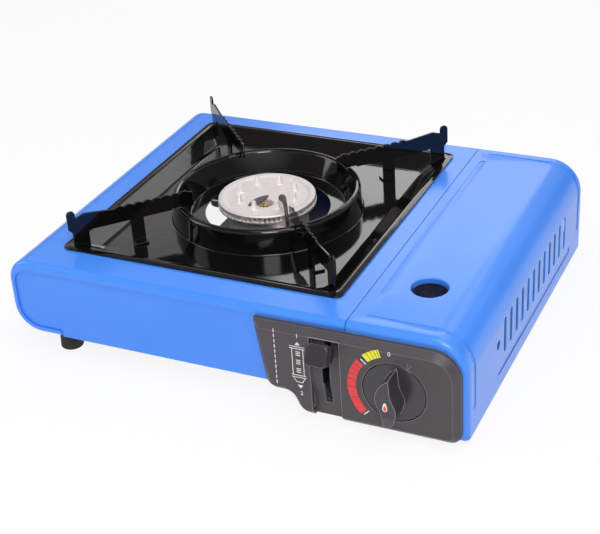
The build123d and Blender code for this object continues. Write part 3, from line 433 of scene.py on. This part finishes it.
# %% Channel floor
channel_width = 20.9
channel_high = 64.5
channel_low = 24.0
channel_foot = (6.4, 3.2)
channel_sheet = 0.6
curve_centre = (46.5, 38.0)
curve_radius = 45.15
curve_steps = 24
lever_slot = (5.2, 14.5, 62.0)
cut_reach = 0.001


def verts_in(geom):
    """The vertices among what an operator gives back."""
    return [g for g in geom if isinstance(g, bmesh.types.BMVert)]


def channel_floor():
    panel_low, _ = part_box("control_panel")
    lever_low, lever_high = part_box("lock_lever")
    middle = (lever_low.x + lever_high.x) / 2
    left = middle - channel_width * MM / 2
    centre = Vector((left, panel_low.y + curve_centre[0] * MM, curve_centre[1] * MM))
    first, final = (asin((z - curve_centre[1]) / curve_radius) for z in (channel_high, channel_low))
    bm = bmesh.new()
    start = bm.verts.new(centre + Vector((0, -cos(first), sin(first))) * curve_radius * MM)
    sweep = first - final
    arc = bmesh.ops.spin(
        bm, geom=[start], cent=centre, axis=(1, 0, 0), angle=sweep, steps=curve_steps
    )
    last = verts_in(arc["geom_last"])[0]
    foot = bm.verts.new((left, panel_low.y + channel_foot[0] * MM, channel_foot[1] * MM))
    bm.edges.new((last, foot))
    strip = bmesh.ops.extrude_edge_only(bm, edges=bm.edges[:])["geom"]
    bmesh.ops.translate(bm, verts=verts_in(strip), vec=(channel_width * MM, 0, 0))
    width, low, high = (value * MM for value in lever_slot)
    cuts = [((middle + side * width / 2, 0, 0), (1, 0, 0)) for side in (-1, 1)]
    cuts += [((0, 0, height), (0, 0, 1)) for height in (low, high)]
    for place, direction in cuts:
        bmesh.ops.bisect_plane(
            bm,
            geom=bm.verts[:] + bm.edges[:] + bm.faces[:],
            dist=cut_reach * MM,
            plane_co=place,
            plane_no=direction,
        )
    centres = [(f, f.calc_center_median()) for f in bm.faces]
    between = [(f, at) for f, at in centres if abs(at.x - middle) < width / 2]
    opening = [f for f, at in between if low < at.z < high]
    bmesh.ops.delete(bm, geom=opening, context="FACES")
    bmesh.ops.recalc_face_normals(bm, faces=bm.faces)
    if sum(f.normal.y for f in bm.faces) > 0:
        bmesh.ops.reverse_faces(bm, faces=bm.faces)
    body, slot = body_of["control_panel"], slot_of["control_panel"]
    return finish_piece(
        "lever_channel_floor", bm, body, finishes[slot], sheet=channel_sheet
    )


channel = channel_floor()
print("channel floor faces:", len(channel.data.polygons))

# %% [markdown]
# ## The root of the lever
# Behind its thumb cap the real lever is a thick, rounded block, not a thin arm. A cube with
# bevelled edges, turned to the arm's angle, stands behind the cap and rides with the lever; it
# stays clear of the channel's floor.

# %% Lever root
lever_pivot = (-96.5, 36.0)
lever_angle = 27.0
root_reach = 46.5
root_size = (14.0, 10.0, 11.0)
root_rounding = 2.6


def lever_root():
    lever_low, lever_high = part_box("lock_lever")
    middle = (lever_low.x + lever_high.x) / 2
    pivot = Vector((middle, lever_pivot[0] * MM, lever_pivot[1] * MM))
    arm = Matrix.Translation(pivot) @ Matrix.Rotation(-radians(lever_angle), 4, "X")
    along = Matrix.Translation((0, -root_reach * MM, 0))
    size = Matrix.Diagonal((*(side * MM for side in root_size), 1))
    bm = bmesh.new()
    bmesh.ops.create_cube(bm, size=1, matrix=arm @ along @ size)
    bmesh.ops.bevel(
        bm,
        geom=bm.edges[:],
        offset=root_rounding * MM,
        affect="EDGES",
        segments=4,
        profile=0.5,
        material=-1,
    )
    body, slot = body_of["lock_lever"], slot_of["lock_lever"]
    return finish_piece("lever_root_block", bm, body, finishes[slot])


root = lever_root()
print("lever root faces:", len(root.data.polygons))

# %% [markdown]
# ## The edge of the cartridge bay
# Behind the vent slots lies the sheet of the bay, in shade, so the slots look dark. The solid of
# the pan ends short of the lid, so a strip of the same sheet, a flattened cube with sheared,
# slightly rounded edges, carries it on above the hinge line.

# %% Bay edge
pan_upstand = 10.0
strip_gap = 2.6
strip_inset = 8.0
strip_sheet = 1.0
strip_overlap = 1.0
strip_rounding = 0.3


def bay_edge():
    pan_low, pan_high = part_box("bay_pan")
    _, lid_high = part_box("cartridge_lid")
    bottom = pan_low.z + pan_upstand * MM
    low = Vector((pan_high.x - strip_overlap * MM, pan_low.y + strip_inset * MM, bottom))
    top = low.z + strip_sheet * MM
    high = Vector((lid_high.x - strip_gap * MM, pan_high.y - strip_inset * MM, top))
    size = Matrix.Diagonal((*(high - low), 1))
    bm = bmesh.new()
    bmesh.ops.create_cube(bm, size=1, matrix=Matrix.Translation((low + high) / 2) @ size)
    round_corners(bm, strip_rounding)
    body, slot = body_of["bay_pan"], slot_of["bay_pan"]
    return finish_piece("bay_edge_strip", bm, body, finishes[slot])


strip = bay_edge()
print("bay edge in mm:", [round(d / MM, 1) for d in strip.dimensions])

# %% [markdown]
# ## The burner's top
# The cast head is dished, with eight tapered pegs that keep a pan off it. They stand at the
# quarters and eighths of the circle and are thick and rounded on the real casting, so the plain
# ones of the solid are pressed flat in the copy, and eight cones with bevelled tops stand in
# their place. The leaf of the spark gap is heat-darkened.

# %% Burner head
head_low, head_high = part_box("burner_head")
burner_middle = (head_low + head_high) / 2
plain_peg = 5.0
peg_field = 26
head_flat_fold = 0.2
dish_height = head_high.z - plain_peg * MM


def burner_head():
    bm = merged_copy("burner_head")
    raised = [v for v in bm.verts if v.co.z > dish_height]
    pegs = [v for v in raised if (v.co - burner_middle).xy.length < peg_field * MM]
    level = Matrix.Translation((0, 0, -dish_height))
    bmesh.ops.scale(bm, vec=(1, 1, 0), space=level, verts=pegs)
    fold = radians(head_flat_fold)
    bmesh.ops.dissolve_limit(bm, angle_limit=fold, verts=bm.verts, edges=bm.edges)
    slot = slot_of["burner_head"]
    return finish_piece(
        "burner_head_skin", bm, "stove", finishes[slot], ["burner_head"], corner=30
    )


burner_head()
print("burner top in mm:", round(dish_height / MM, 1))

# %% Pegs and leaf
peg_count = 8
peg_circle = 22.0
peg_height = 6.6
peg_root = 0.2
peg_radii = (2.5, 1.5)
peg_rounding = 0.9


def burner_pegs():
    bm = bmesh.new()
    rise = dish_height + (peg_height / 2 - peg_root) * MM
    place = Matrix.Translation((burner_middle.x, burner_middle.y, rise))
    out = Matrix.Translation((peg_circle * MM, 0, 0))
    for i in range(peg_count):
        bmesh.ops.create_cone(
            bm,
            cap_ends=True,
            segments=24,
            radius1=peg_radii[0] * MM,
            radius2=peg_radii[1] * MM,
            depth=peg_height * MM,
            matrix=place @ Matrix.Rotation(2 * pi * i / peg_count, 4, "Z") @ out,
        )
    tops = [f for f in bm.faces if f.normal.z > 0.9]
    bmesh.ops.bevel(
        bm,
        geom=[e for f in tops for e in f.edges],
        offset=peg_rounding * MM,
        affect="EDGES",
        segments=4,
        profile=0.5,
        material=-1,
        clamp_overlap=True,
    )
    casting = finishes["cast_aluminium"]
    return finish_piece("burner_pegs", bm, "stove", casting, corner=50)


burner_pegs()
leaf = merged_copy("spark_target")
finish_piece("spark_target_skin", leaf, "stove", burnt_steel, ["spark_target"])
print("pegs:", peg_count)

# %% [markdown]
# ## The electrode arm
# A bent rod stands on the mixing tube, passes up outside the burner's rim and ends in a rounded
# tip over the head. A path curve with a round bevel draws it in a few points, and each point's
# radius thickens the tip. The curve is made a mesh at once, so that it is a plain piece like the
# others.

# %% Electrode arm
arm_path = (
    (29.4, -28.1, 67.6, 1.3),
    (29.4, -28.1, 73.0, 1.3),
    (29.4, -28.1, 80.0, 1.3),
    (26.5, -23.0, 88.0, 1.4),
    (21.5, -15.6, 88.6, 2.0),
    (18.0, -11.0, 87.2, 3.2),
    (16.2, -8.8, 85.6, 2.2),
)


def as_bmesh(curve):
    """A curve's surface as a bmesh; the object is only needed while Blender converts it."""
    drawn = bpy.data.objects.new(curve.name, curve)
    mesh = bpy.data.meshes.new_from_object(drawn)
    bpy.data.objects.remove(drawn)
    bm = bmesh.new()
    bm.from_mesh(mesh)
    bpy.data.meshes.remove(mesh)
    return bm


def electrode_arm():
    curve = bpy.data.curves.new("electrode_arm_path", "CURVE")
    curve.dimensions = "3D"
    curve.bevel_depth = MM
    curve.bevel_resolution = 4
    curve.use_fill_caps = True
    spline = curve.splines.new("NURBS")
    spline.points.add(len(arm_path) - 1)
    for point, (x, y, z, radius) in zip(spline.points, arm_path):
        point.co = (burner_middle.x + x * MM, burner_middle.y + y * MM, z * MM, 1)
        point.radius = radius
    spline.use_endpoint_u = True
    spline.order_u = 3
    bm = as_bmesh(curve)
    bmesh.ops.remove_doubles(bm, verts=bm.verts, dist=merge_reach * MM)
    bmesh.ops.recalc_face_normals(bm, faces=bm.faces)
    return finish_piece("electrode_arm", bm, "stove", burnt_steel, corner=60)


arm = electrode_arm()
print("electrode arm faces:", len(arm.data.polygons))

# %% [markdown]
# ## The drip tray
# The real tray is one sheet, pressed: a lip, four sloping sides, a flat floor and a raised ring.
# Only its upper face is drawn here. Rounded rectangles come from a square whose corners are
# bevelled, the ring from a bent line that is spun. Bridges join the loops of the lip and the
# slope, and a fill makes the floor round the ring. Folds are rounded because a press never leaves
# a sharp one, and a Solidify modifier gives the sheet its thickness, downwards.

# %% Tray sizes
tray_low, tray_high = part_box("drip_tray")
tray_middle = (tray_low + tray_high) / 2
tray_width = (tray_high.x - tray_low.x) / MM
tray_length = (tray_high.y - tray_low.y) / MM
lip_height = 78.3
lip_rise = 0.8
basin_height = 69.3
tray_sheet = 1.0
lip_width = 5.0
lip_corner = 6
corner_growth = 6
slope_reach = 19.0
fold_reach = 2.2
fold_fullness = 0.55
fold_steps = 6
quarter_steps = 32
corner_steps = 8
tray_merge = 0.01
ring_line = (
    (47.1, 71.0, 0),
    (58.34, 71.0, 1.0),
    (69.67, 97.52, 3.0),
    (71.92, 69.3, 1.0),
    (77.0, 69.3, 0),
)
print("tray in mm:", round(tray_width, 1), round(tray_length, 1))


# %% Tray outline and section
def rounded_loop(bm, inset, corner, height):
    """A level rounded rectangle of edges, drawn in from the tray's outline; returns its edges."""
    half_width = tray_width / 2 - inset
    half_length = tray_length / 2 - inset
    size = Matrix.Diagonal((half_width * MM, half_length * MM, 1, 1))
    place = Matrix.Translation((tray_middle.x, tray_middle.y, height * MM)) @ size
    before = set(bm.edges)
    square = bmesh.ops.create_circle(
        bm, segments=4, radius=2**0.5, matrix=place @ Matrix.Rotation(pi / 4, 4, "Z")
    )
    bmesh.ops.bevel(
        bm,
        geom=square["verts"],
        offset=corner * MM,
        affect="VERTICES",
        segments=corner_steps,
        profile=0.5,
        material=-1,
    )
    drawn = [e for e in bm.edges if e not in before]
    sides = [e for e in drawn if e.calc_length() > 2 * corner * MM]
    bmesh.ops.subdivide_edges(bm, edges=sides, cuts=quarter_steps - corner_steps - 1)
    return [e for e in bm.edges if e not in before]


def fold(before, corner, after):
    """Points of a rounded fold at one corner of the tray's section, as (inset, height)."""
    start = corner + (before - corner).normalized() * fold_reach
    end = corner + (after - corner).normalized() * fold_reach
    handles = (start.lerp(corner, fold_fullness), end.lerp(corner, fold_fullness))
    return interpolate_bezier(start, *handles, end, fold_steps)


rim, edge = Vector((0, lip_height)), Vector((lip_width, lip_height + lip_rise))
foot, middle = Vector((slope_reach, basin_height)), Vector((2 * slope_reach, basin_height))
tray_section = [rim] + fold(rim, edge, foot) + fold(edge, foot, middle)
print("points of the section:", len(tray_section))


# %% Ring line
def bent_line(bm, corners, steps=6):
    """A line through (radius, height, bend) corners; a bend is an arc spun from its first point."""
    places = [Vector((tray_middle.x + r * MM, tray_middle.y, z * MM)) for r, z, bend in corners]
    last = None
    for i, here in enumerate(places):
        bend = corners[i][2] * MM
        start = here
        if bend:
            back = (places[i - 1] - here).normalized()
            ahead = (places[i + 1] - here).normalized()
            half = back.angle(ahead) / 2
            start = here + back * (bend / tan(half))
        point = bm.verts.new(start)
        if last:
            bm.edges.new((last, point))
        last = point
        if bend:
            sweep = pi - 2 * half if back.cross(ahead).y < 0 else 2 * half - pi
            centre = here + (back + ahead).normalized() * (bend / sin(half))
            arc = bmesh.ops.spin(
                bm, geom=[point], cent=centre, axis=(0, 1, 0), angle=sweep, steps=steps
            )
            last = verts_in(arc["geom_last"])[0]


print("corners of the ring:", len(ring_line))


# %% Tray
def drip_tray():
    bm = bmesh.new()
    bent_line(bm, ring_line)
    bmesh.ops.spin(
        bm,
        geom=bm.verts[:] + bm.edges[:],
        cent=tray_middle,
        axis=(0, 0, 1),
        angle=2 * pi,
        steps=4 * quarter_steps,
        use_merge=True,
    )
    rims = [e for e in bm.edges if e.is_boundary]
    outer_reach = ring_line[-2][0] * MM
    outer = [e for e in rims if (e.verts[0].co - tray_middle).xy.length > outer_reach]
    loops = [
        rounded_loop(bm, inset, lip_corner + inset / corner_growth, height)
        for inset, height in tray_section
    ]
    for near, far in zip(loops, loops[1:]):
        bmesh.ops.bridge_loops(bm, edges=near + far)
    bmesh.ops.triangle_fill(bm, edges=loops[-1] + outer, use_beauty=True, normal=(0, 0, 1))
    bmesh.ops.remove_doubles(bm, verts=bm.verts, dist=tray_merge * MM)
    bmesh.ops.recalc_face_normals(bm, faces=bm.faces)
    if sum(f.normal.z * f.calc_area() for f in bm.faces) < 0:
        bmesh.ops.reverse_faces(bm, faces=bm.faces)
    enamel = finishes["black_enamel"]
    return finish_piece(
        "drip_tray_pressing", bm, "tray", enamel, ["drip_tray"], sheet=tray_sheet
    )


tray = drip_tray()
heights = [v.co.z / MM for v in tray.data.vertices]
print("tray faces:", len(tray.data.polygons))
print("tray heights in mm:", round(min(heights), 2), round(max(heights), 2))

# %% [markdown]
# ## Printed marks on the panel
# The dial and the lever marks are ink, a few hundredths of a millimetre thick. Drawing them as
# thin meshes, and not in the panel's material, keeps them crisp and lets each have its own ink.
# An edge spun about the knob makes each bar of the dial; a few vertices and one face make the
# rest.

# %% Ink helpers
panel_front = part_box("control_panel")[0].y
spindle_low, spindle_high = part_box("valve_spindle")
knob_axis = Vector(
    ((spindle_low.x + spindle_high.x) / 2, panel_front, (spindle_low.z + spindle_high.z) / 2)
)
ink_film = 0.06


def print_on(name, bm, ink, body="stove"):
    """Give flat faces that look to the front the thickness of an ink film."""
    bmesh.ops.recalc_face_normals(bm, faces=bm.faces)
    for face in bm.faces:
        if face.normal.y > 0:
            face.normal_flip()
    raised = bmesh.ops.extrude_face_region(bm, geom=bm.faces[:])["geom"]
    bmesh.ops.translate(bm, verts=verts_in(raised), vec=(0, -ink_film * MM, 0))
    bmesh.ops.recalc_face_normals(bm, faces=bm.faces)
    return finish_piece(name, bm, body, inks[ink])


def flat_shape(bm, points):
    """One face through points given as X and Z in millimetres, on the panel's front."""
    corners = [bm.verts.new((x * MM, panel_front, z * MM)) for x, z in points]
    bmesh.ops.contextual_create(bm, geom=corners)


def bar(bm, x0, x1, z0, z1):
    """An upright rectangle on the panel's front, in millimetres."""
    flat_shape(bm, [(x0, z0), (x1, z0), (x1, z1), (x0, z1)])


print("dial about", [round(c / MM, 1) for c in knob_axis])

# %% Dial
dial_inner = 26.3
dial_outer = 32.3
bar_gap = 0.9
arc_step = 2
tick_inner = dial_inner - 0.6
tick_outer = dial_outer - 1.6
tick_angles = ((-46, -47.6), (-135, -136.6))


def dial_bar(bm, inner, outer, start, end):
    """Part of a ring about the knob, between two radii and two angles, clockwise from the top."""
    ray = Vector((sin(radians(start)), 0, cos(radians(start))))
    low = bm.verts.new(knob_axis + ray * inner * MM)
    high = bm.verts.new(knob_axis + ray * outer * MM)
    edge = bm.edges.new((low, high))
    bmesh.ops.spin(
        bm,
        geom=[low, high, edge],
        cent=knob_axis,
        axis=(0, 1, 0),
        angle=radians(end - start),
        steps=max(2, round(abs(end - start) / arc_step)),
    )


def dial_scale(name, ink, start, end, shares):
    """Bars of growing width from one angle to another."""
    bm = bmesh.new()
    step = (end - start) / sum(shares)
    trim = bar_gap / 2 if step > 0 else -bar_gap / 2
    angle = start
    for share in shares:
        width = step * share
        dial_bar(bm, dial_inner, dial_outer, angle + trim, angle + width - trim)
        angle += width
    return print_on(name, bm, ink)


dial_scale("dial_yellow", "yellow", -18, -42, (0.55, 0.8, 1, 1.2, 1.4))
dial_scale("dial_red", "red", -51, -133, (1, 1, 1, 1.2, 1.6, 2.2, 3.2))
bm = bmesh.new()
for start, end in tick_angles:
    dial_bar(bm, tick_inner, tick_outer, start, end)
ticks = print_on("dial_ticks", bm, "white")
print("ticks:", len(tick_angles), "faces:", len(ticks.data.polygons))

# %% [markdown]
# ## The sign beside the lever
# A small drawing of a cartridge between two arrows shows which way the lever goes. It is made of
# triangles, thin bars and slanted strips, all given as X and Z on the panel, and a dashed line
# stands at its left.

# %% Lever marks
arrows = (
    ((56.7, 58.3), (60.2, 58.3), (58.5, 60.8)),
    ((57.0, 27.1), (59.1, 24.4), (60.9, 27.1)),
)
collar_lines = (
    (52.6, 63.5, 56.7, 57.2),
    (52.6, 63.5, 55.1, 55.6),
    (53.3, 63.5, 34.5, 35.0),
    (53.3, 63.5, 32.9, 33.4),
)
wall_lines = ((54.0, 54.5, 35.0, 55.1), (62.0, 62.5, 35.0, 55.1))
shoulders = (
    ((53.8, 32.9), (54.4, 32.9), (56.7, 29.5), (56.1, 29.5)),
    ((62.4, 32.9), (63.0, 32.9), (61.1, 29.5), (60.5, 29.5)),
)
mouth_line = (56.1, 61.1, 29.1, 29.6)
hatch_width = (56.9, 60.1)
hatch_heights = (51.7, 45.2, 38.6)
hatch_lines = ((-1.7, -1.1), (-0.3, 0.3), (1.1, 1.7))
dash_count = 11
dash_pitch = 4
first_dash = (41.5, 42.1, 25, 27.6)

bm = bmesh.new()
for arrow in arrows:
    flat_shape(bm, arrow)
for line in collar_lines + wall_lines:
    bar(bm, *line)
for shoulder in shoulders:
    flat_shape(bm, shoulder)
bar(bm, *mouth_line)
for height in hatch_heights:
    for low, high in hatch_lines:
        bar(bm, *hatch_width, height + low, height + high)
marks = print_on("lever_marks", bm, "white")

bm = bmesh.new()
left, right, low, high = first_dash
for i in range(dash_count):
    bar(bm, left, right, low + i * dash_pitch, high + i * dash_pitch)
print_on("side_dashes", bm, "white")
print("lever mark faces:", len(marks.data.polygons), "dashes:", dash_count)

# %% [markdown]
# ## Plain numbers
# A 0 on the dial and a 1 and a 2 at the lever's ends. Blender's text object sets them; it is made
# a mesh first and then stood up on the panel, so that it gets the same ink film as the other
# marks.

# %% Numbers
digit_height = 3.2
font_share = 1.4
numbers = (
    ("mark_0", "0", 122.4, 65.0),
    ("mark_lever_1", "1", 58.6, 65.2),
    ("mark_lever_2", "2", 59.6, 20.6),
)


def number(name, digits, x, z):
    """Plain digits, made a mesh and stood up on the panel's front."""
    curve = bpy.data.curves.new(name + "_text", "FONT")
    curve.body = digits
    curve.size = digit_height * font_share * MM
    curve.align_x = "CENTER"
    curve.align_y = "CENTER"
    curve.resolution_u = 4
    bm = as_bmesh(curve)
    upright = Matrix.Rotation(pi / 2, 4, "X")
    place = Matrix.Translation((x * MM, panel_front, z * MM)) @ upright
    bmesh.ops.transform(bm, matrix=place, verts=bm.verts)
    bmesh.ops.remove_doubles(bm, verts=bm.verts, dist=cut_reach * MM)
    return print_on(name, bm, "white")


for row in numbers:
    number(*row)
print("numbers:", [row[1] for row in numbers])

# %% [markdown]
# ## The flame on the knob
# A small drop shape with a white outline shows where the knob points. It starts as a disc whose
# upper half is drawn out to a point. It rides on the knob, so it turns with it.

# %% Flame
flame_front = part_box("control_knob")[0].y
flame_middle = Vector((125.0, 0, 34.0))
flame_radius = 1.75
flame_rise = 3.2
core_share = 0.62
core_drop = 0.2


def drop_shape(scale):
    """A flame's outline: a circle whose top is drawn out to a point."""
    bm = bmesh.new()
    radius = flame_radius * scale * MM
    place = Matrix.Translation((flame_middle.x * MM, flame_front, flame_middle.z * MM))
    stand = place @ Matrix.Rotation(pi / 2, 4, "X")
    bmesh.ops.create_circle(bm, cap_ends=True, segments=32, radius=radius, matrix=stand)
    for v in bm.verts:
        share = max(0.0, (v.co.z - flame_middle.z * MM) / radius)
        v.co.z += share**2 * flame_rise * scale * MM
    return bm


outline = drop_shape(1.0)
core = drop_shape(core_share)
print_on("flame_outline", outline, "white", body="knob")
bmesh.ops.translate(core, verts=core.verts, vec=(0, -ink_film * MM, -core_drop * MM))
flame = print_on("flame_core", core, "red", body="knob")
print("flame core in mm:", [round(d / MM, 1) for d in flame.dimensions])

# %% [markdown]
# ## The floor
# A product picture like this is taken on white paper. The camera and the reflections see the
# paper mostly as plain white, which Light Path picks out, and the rest of it is an ordinary matt
# surface, so the stove keeps a soft shadow under it.

# %% Paper
floor_half = 6
paper_glow = 0.85


def paper():
    material = bpy.data.materials.new("white_paper")
    material.use_nodes = True
    tree = material.node_tree
    shader = tree.nodes["Principled BSDF"]
    set_shader(shader, Base_Color=linear("#f4f4f4"), Roughness=0.9)
    path = add(tree, "ShaderNodeLightPath").outputs
    looks = {0: path["Is Camera Ray"], 1: path["Is Glossy Ray"]}
    seen = add(tree, "ShaderNodeMath", looks, operation="MAXIMUM").outputs[0]
    looks = {0: seen, 1: path["Is Transmission Ray"]}
    seen = add(tree, "ShaderNodeMath", looks, operation="MAXIMUM").outputs[0]
    share = add(tree, "ShaderNodeMath", {0: seen, 1: paper_glow}, operation="MULTIPLY").outputs[0]
    glow = add(tree, "ShaderNodeEmission", {"Color": (1, 1, 1, 1), "Strength": 1.0})
    surfaces = {0: share, 1: shader.outputs["BSDF"], 2: glow.outputs["Emission"]}
    mix = add(tree, "ShaderNodeMixShader", surfaces)
    tree.links.new(mix.outputs[0], tree.nodes["Material Output"].inputs["Surface"])
    return material


bm = bmesh.new()
bmesh.ops.create_grid(bm, x_segments=1, y_segments=1, size=floor_half)
floor_mesh = bpy.data.meshes.new("floor")
bm.to_mesh(floor_mesh)
bm.free()
floor_mesh.materials.append(paper())
floor = bpy.data.objects.new("floor", floor_mesh)
scene.collection.objects.link(floor)
print("floor in m:", [round(d, 1) for d in floor.dimensions])

# %% [markdown]
# ## The room
# The world is white to the camera, so the background is white, and dimmer as a light, so the
# paint keeps its colour. What the black enamel and the metals mirror is a studio: a dark room
# with one bright band at the height of its back wall. A colour ramp over the height of the ray
# gives that band, and Light Path sends each kind of ray to its own background.

# %% World
room_light = 0.42
room_tone = (0.2, 0.19, 0.18, 1)
room_limits = (0.34, 0.8)
bright_band = ((0.41, 0.95), (0.46, 0.95), (0.52, 0.45))

world = bpy.data.worlds.new("studio")
scene.world = world
world.use_nodes = True
tree = world.node_tree
tree.nodes.clear()
path = add(tree, "ShaderNodeLightPath").outputs
looks = {0: path["Is Camera Ray"], 1: path["Is Transmission Ray"]}
direct = add(tree, "ShaderNodeMath", looks, operation="MAXIMUM").outputs[0]
direction = add(tree, "ShaderNodeTexCoord").outputs["Generated"]
rise = add(tree, "ShaderNodeSeparateXYZ", {"Vector": direction}).outputs["Z"]
room = add(tree, "ShaderNodeValToRGB", {"Fac": rise})
for element, position in zip(room.color_ramp.elements, room_limits):
    element.position = position
    element.color = room_tone
for position, tone in bright_band:
    band = room.color_ramp.elements.new(position)
    band.color = (tone, 0.97 * tone, 0.96 * tone, 1)
dim = add(tree, "ShaderNodeBackground", {"Color": (1, 1, 1, 1), "Strength": room_light})
white = add(tree, "ShaderNodeBackground", {"Color": (1, 1, 1, 1), "Strength": 1.0})
mirrored = add(tree, "ShaderNodeBackground", {"Color": room.outputs["Color"], "Strength": 1.0})
kinds = {0: path["Is Glossy Ray"], 1: dim.outputs[0], 2: mirrored.outputs[0]}
lit = add(tree, "ShaderNodeMixShader", kinds).outputs[0]
mix = add(tree, "ShaderNodeMixShader", {0: direct, 1: lit, 2: white.outputs[0]})
add(tree, "ShaderNodeOutputWorld", {"Surface": mix.outputs[0]})
print("heights of the room's tones:", [round(e.position, 2) for e in room.color_ramp.elements])

# %% [markdown]
# ## The lamps
# Five soft boxes give direction: a wide one above, a tall one at the left, a small one in front
# that lights the panel, and two behind the stove that draw streaks in the enamel. Their light
# together is low enough for the pale surfaces to keep their tone.


# %% Lamps
def soft_box(name, place, target, size, watts):
    """A rectangular area lamp that looks at a point."""
    light = bpy.data.lights.new(name, "AREA")
    light.shape = "RECTANGLE"
    light.size, light.size_y = size
    light.energy = watts
    lamp = bpy.data.objects.new(name, light)
    aim = (Vector(target) - Vector(place)).to_track_quat("-Z", "Y")
    lamp.matrix_world = Matrix.Translation(place) @ aim.to_matrix().to_4x4()
    scene.collection.objects.link(lamp)
    return lamp


soft_box("top_box", (0.5, -0.35, 1.6), (0, 0, 0.05), (1.2, 1.2), 11)
soft_box("left_box", (-1.5, -0.5, 0.9), (0, 0, 0.05), (0.6, 1.2), 6)
soft_box("front_box", (0.51, -1.03, 0.99), (-0.03, 0.01, 0.07), (0.4, 0.4), 7)
soft_box("back_box", (-0.32, 1.43, 0.84), (0, 0, 0.07), (0.8, 0.34), 2.0)
soft_box("high_box", (0.3, 1.43, 1.27), (0, 0, 0.07), (0.6, 0.3), 1.1)
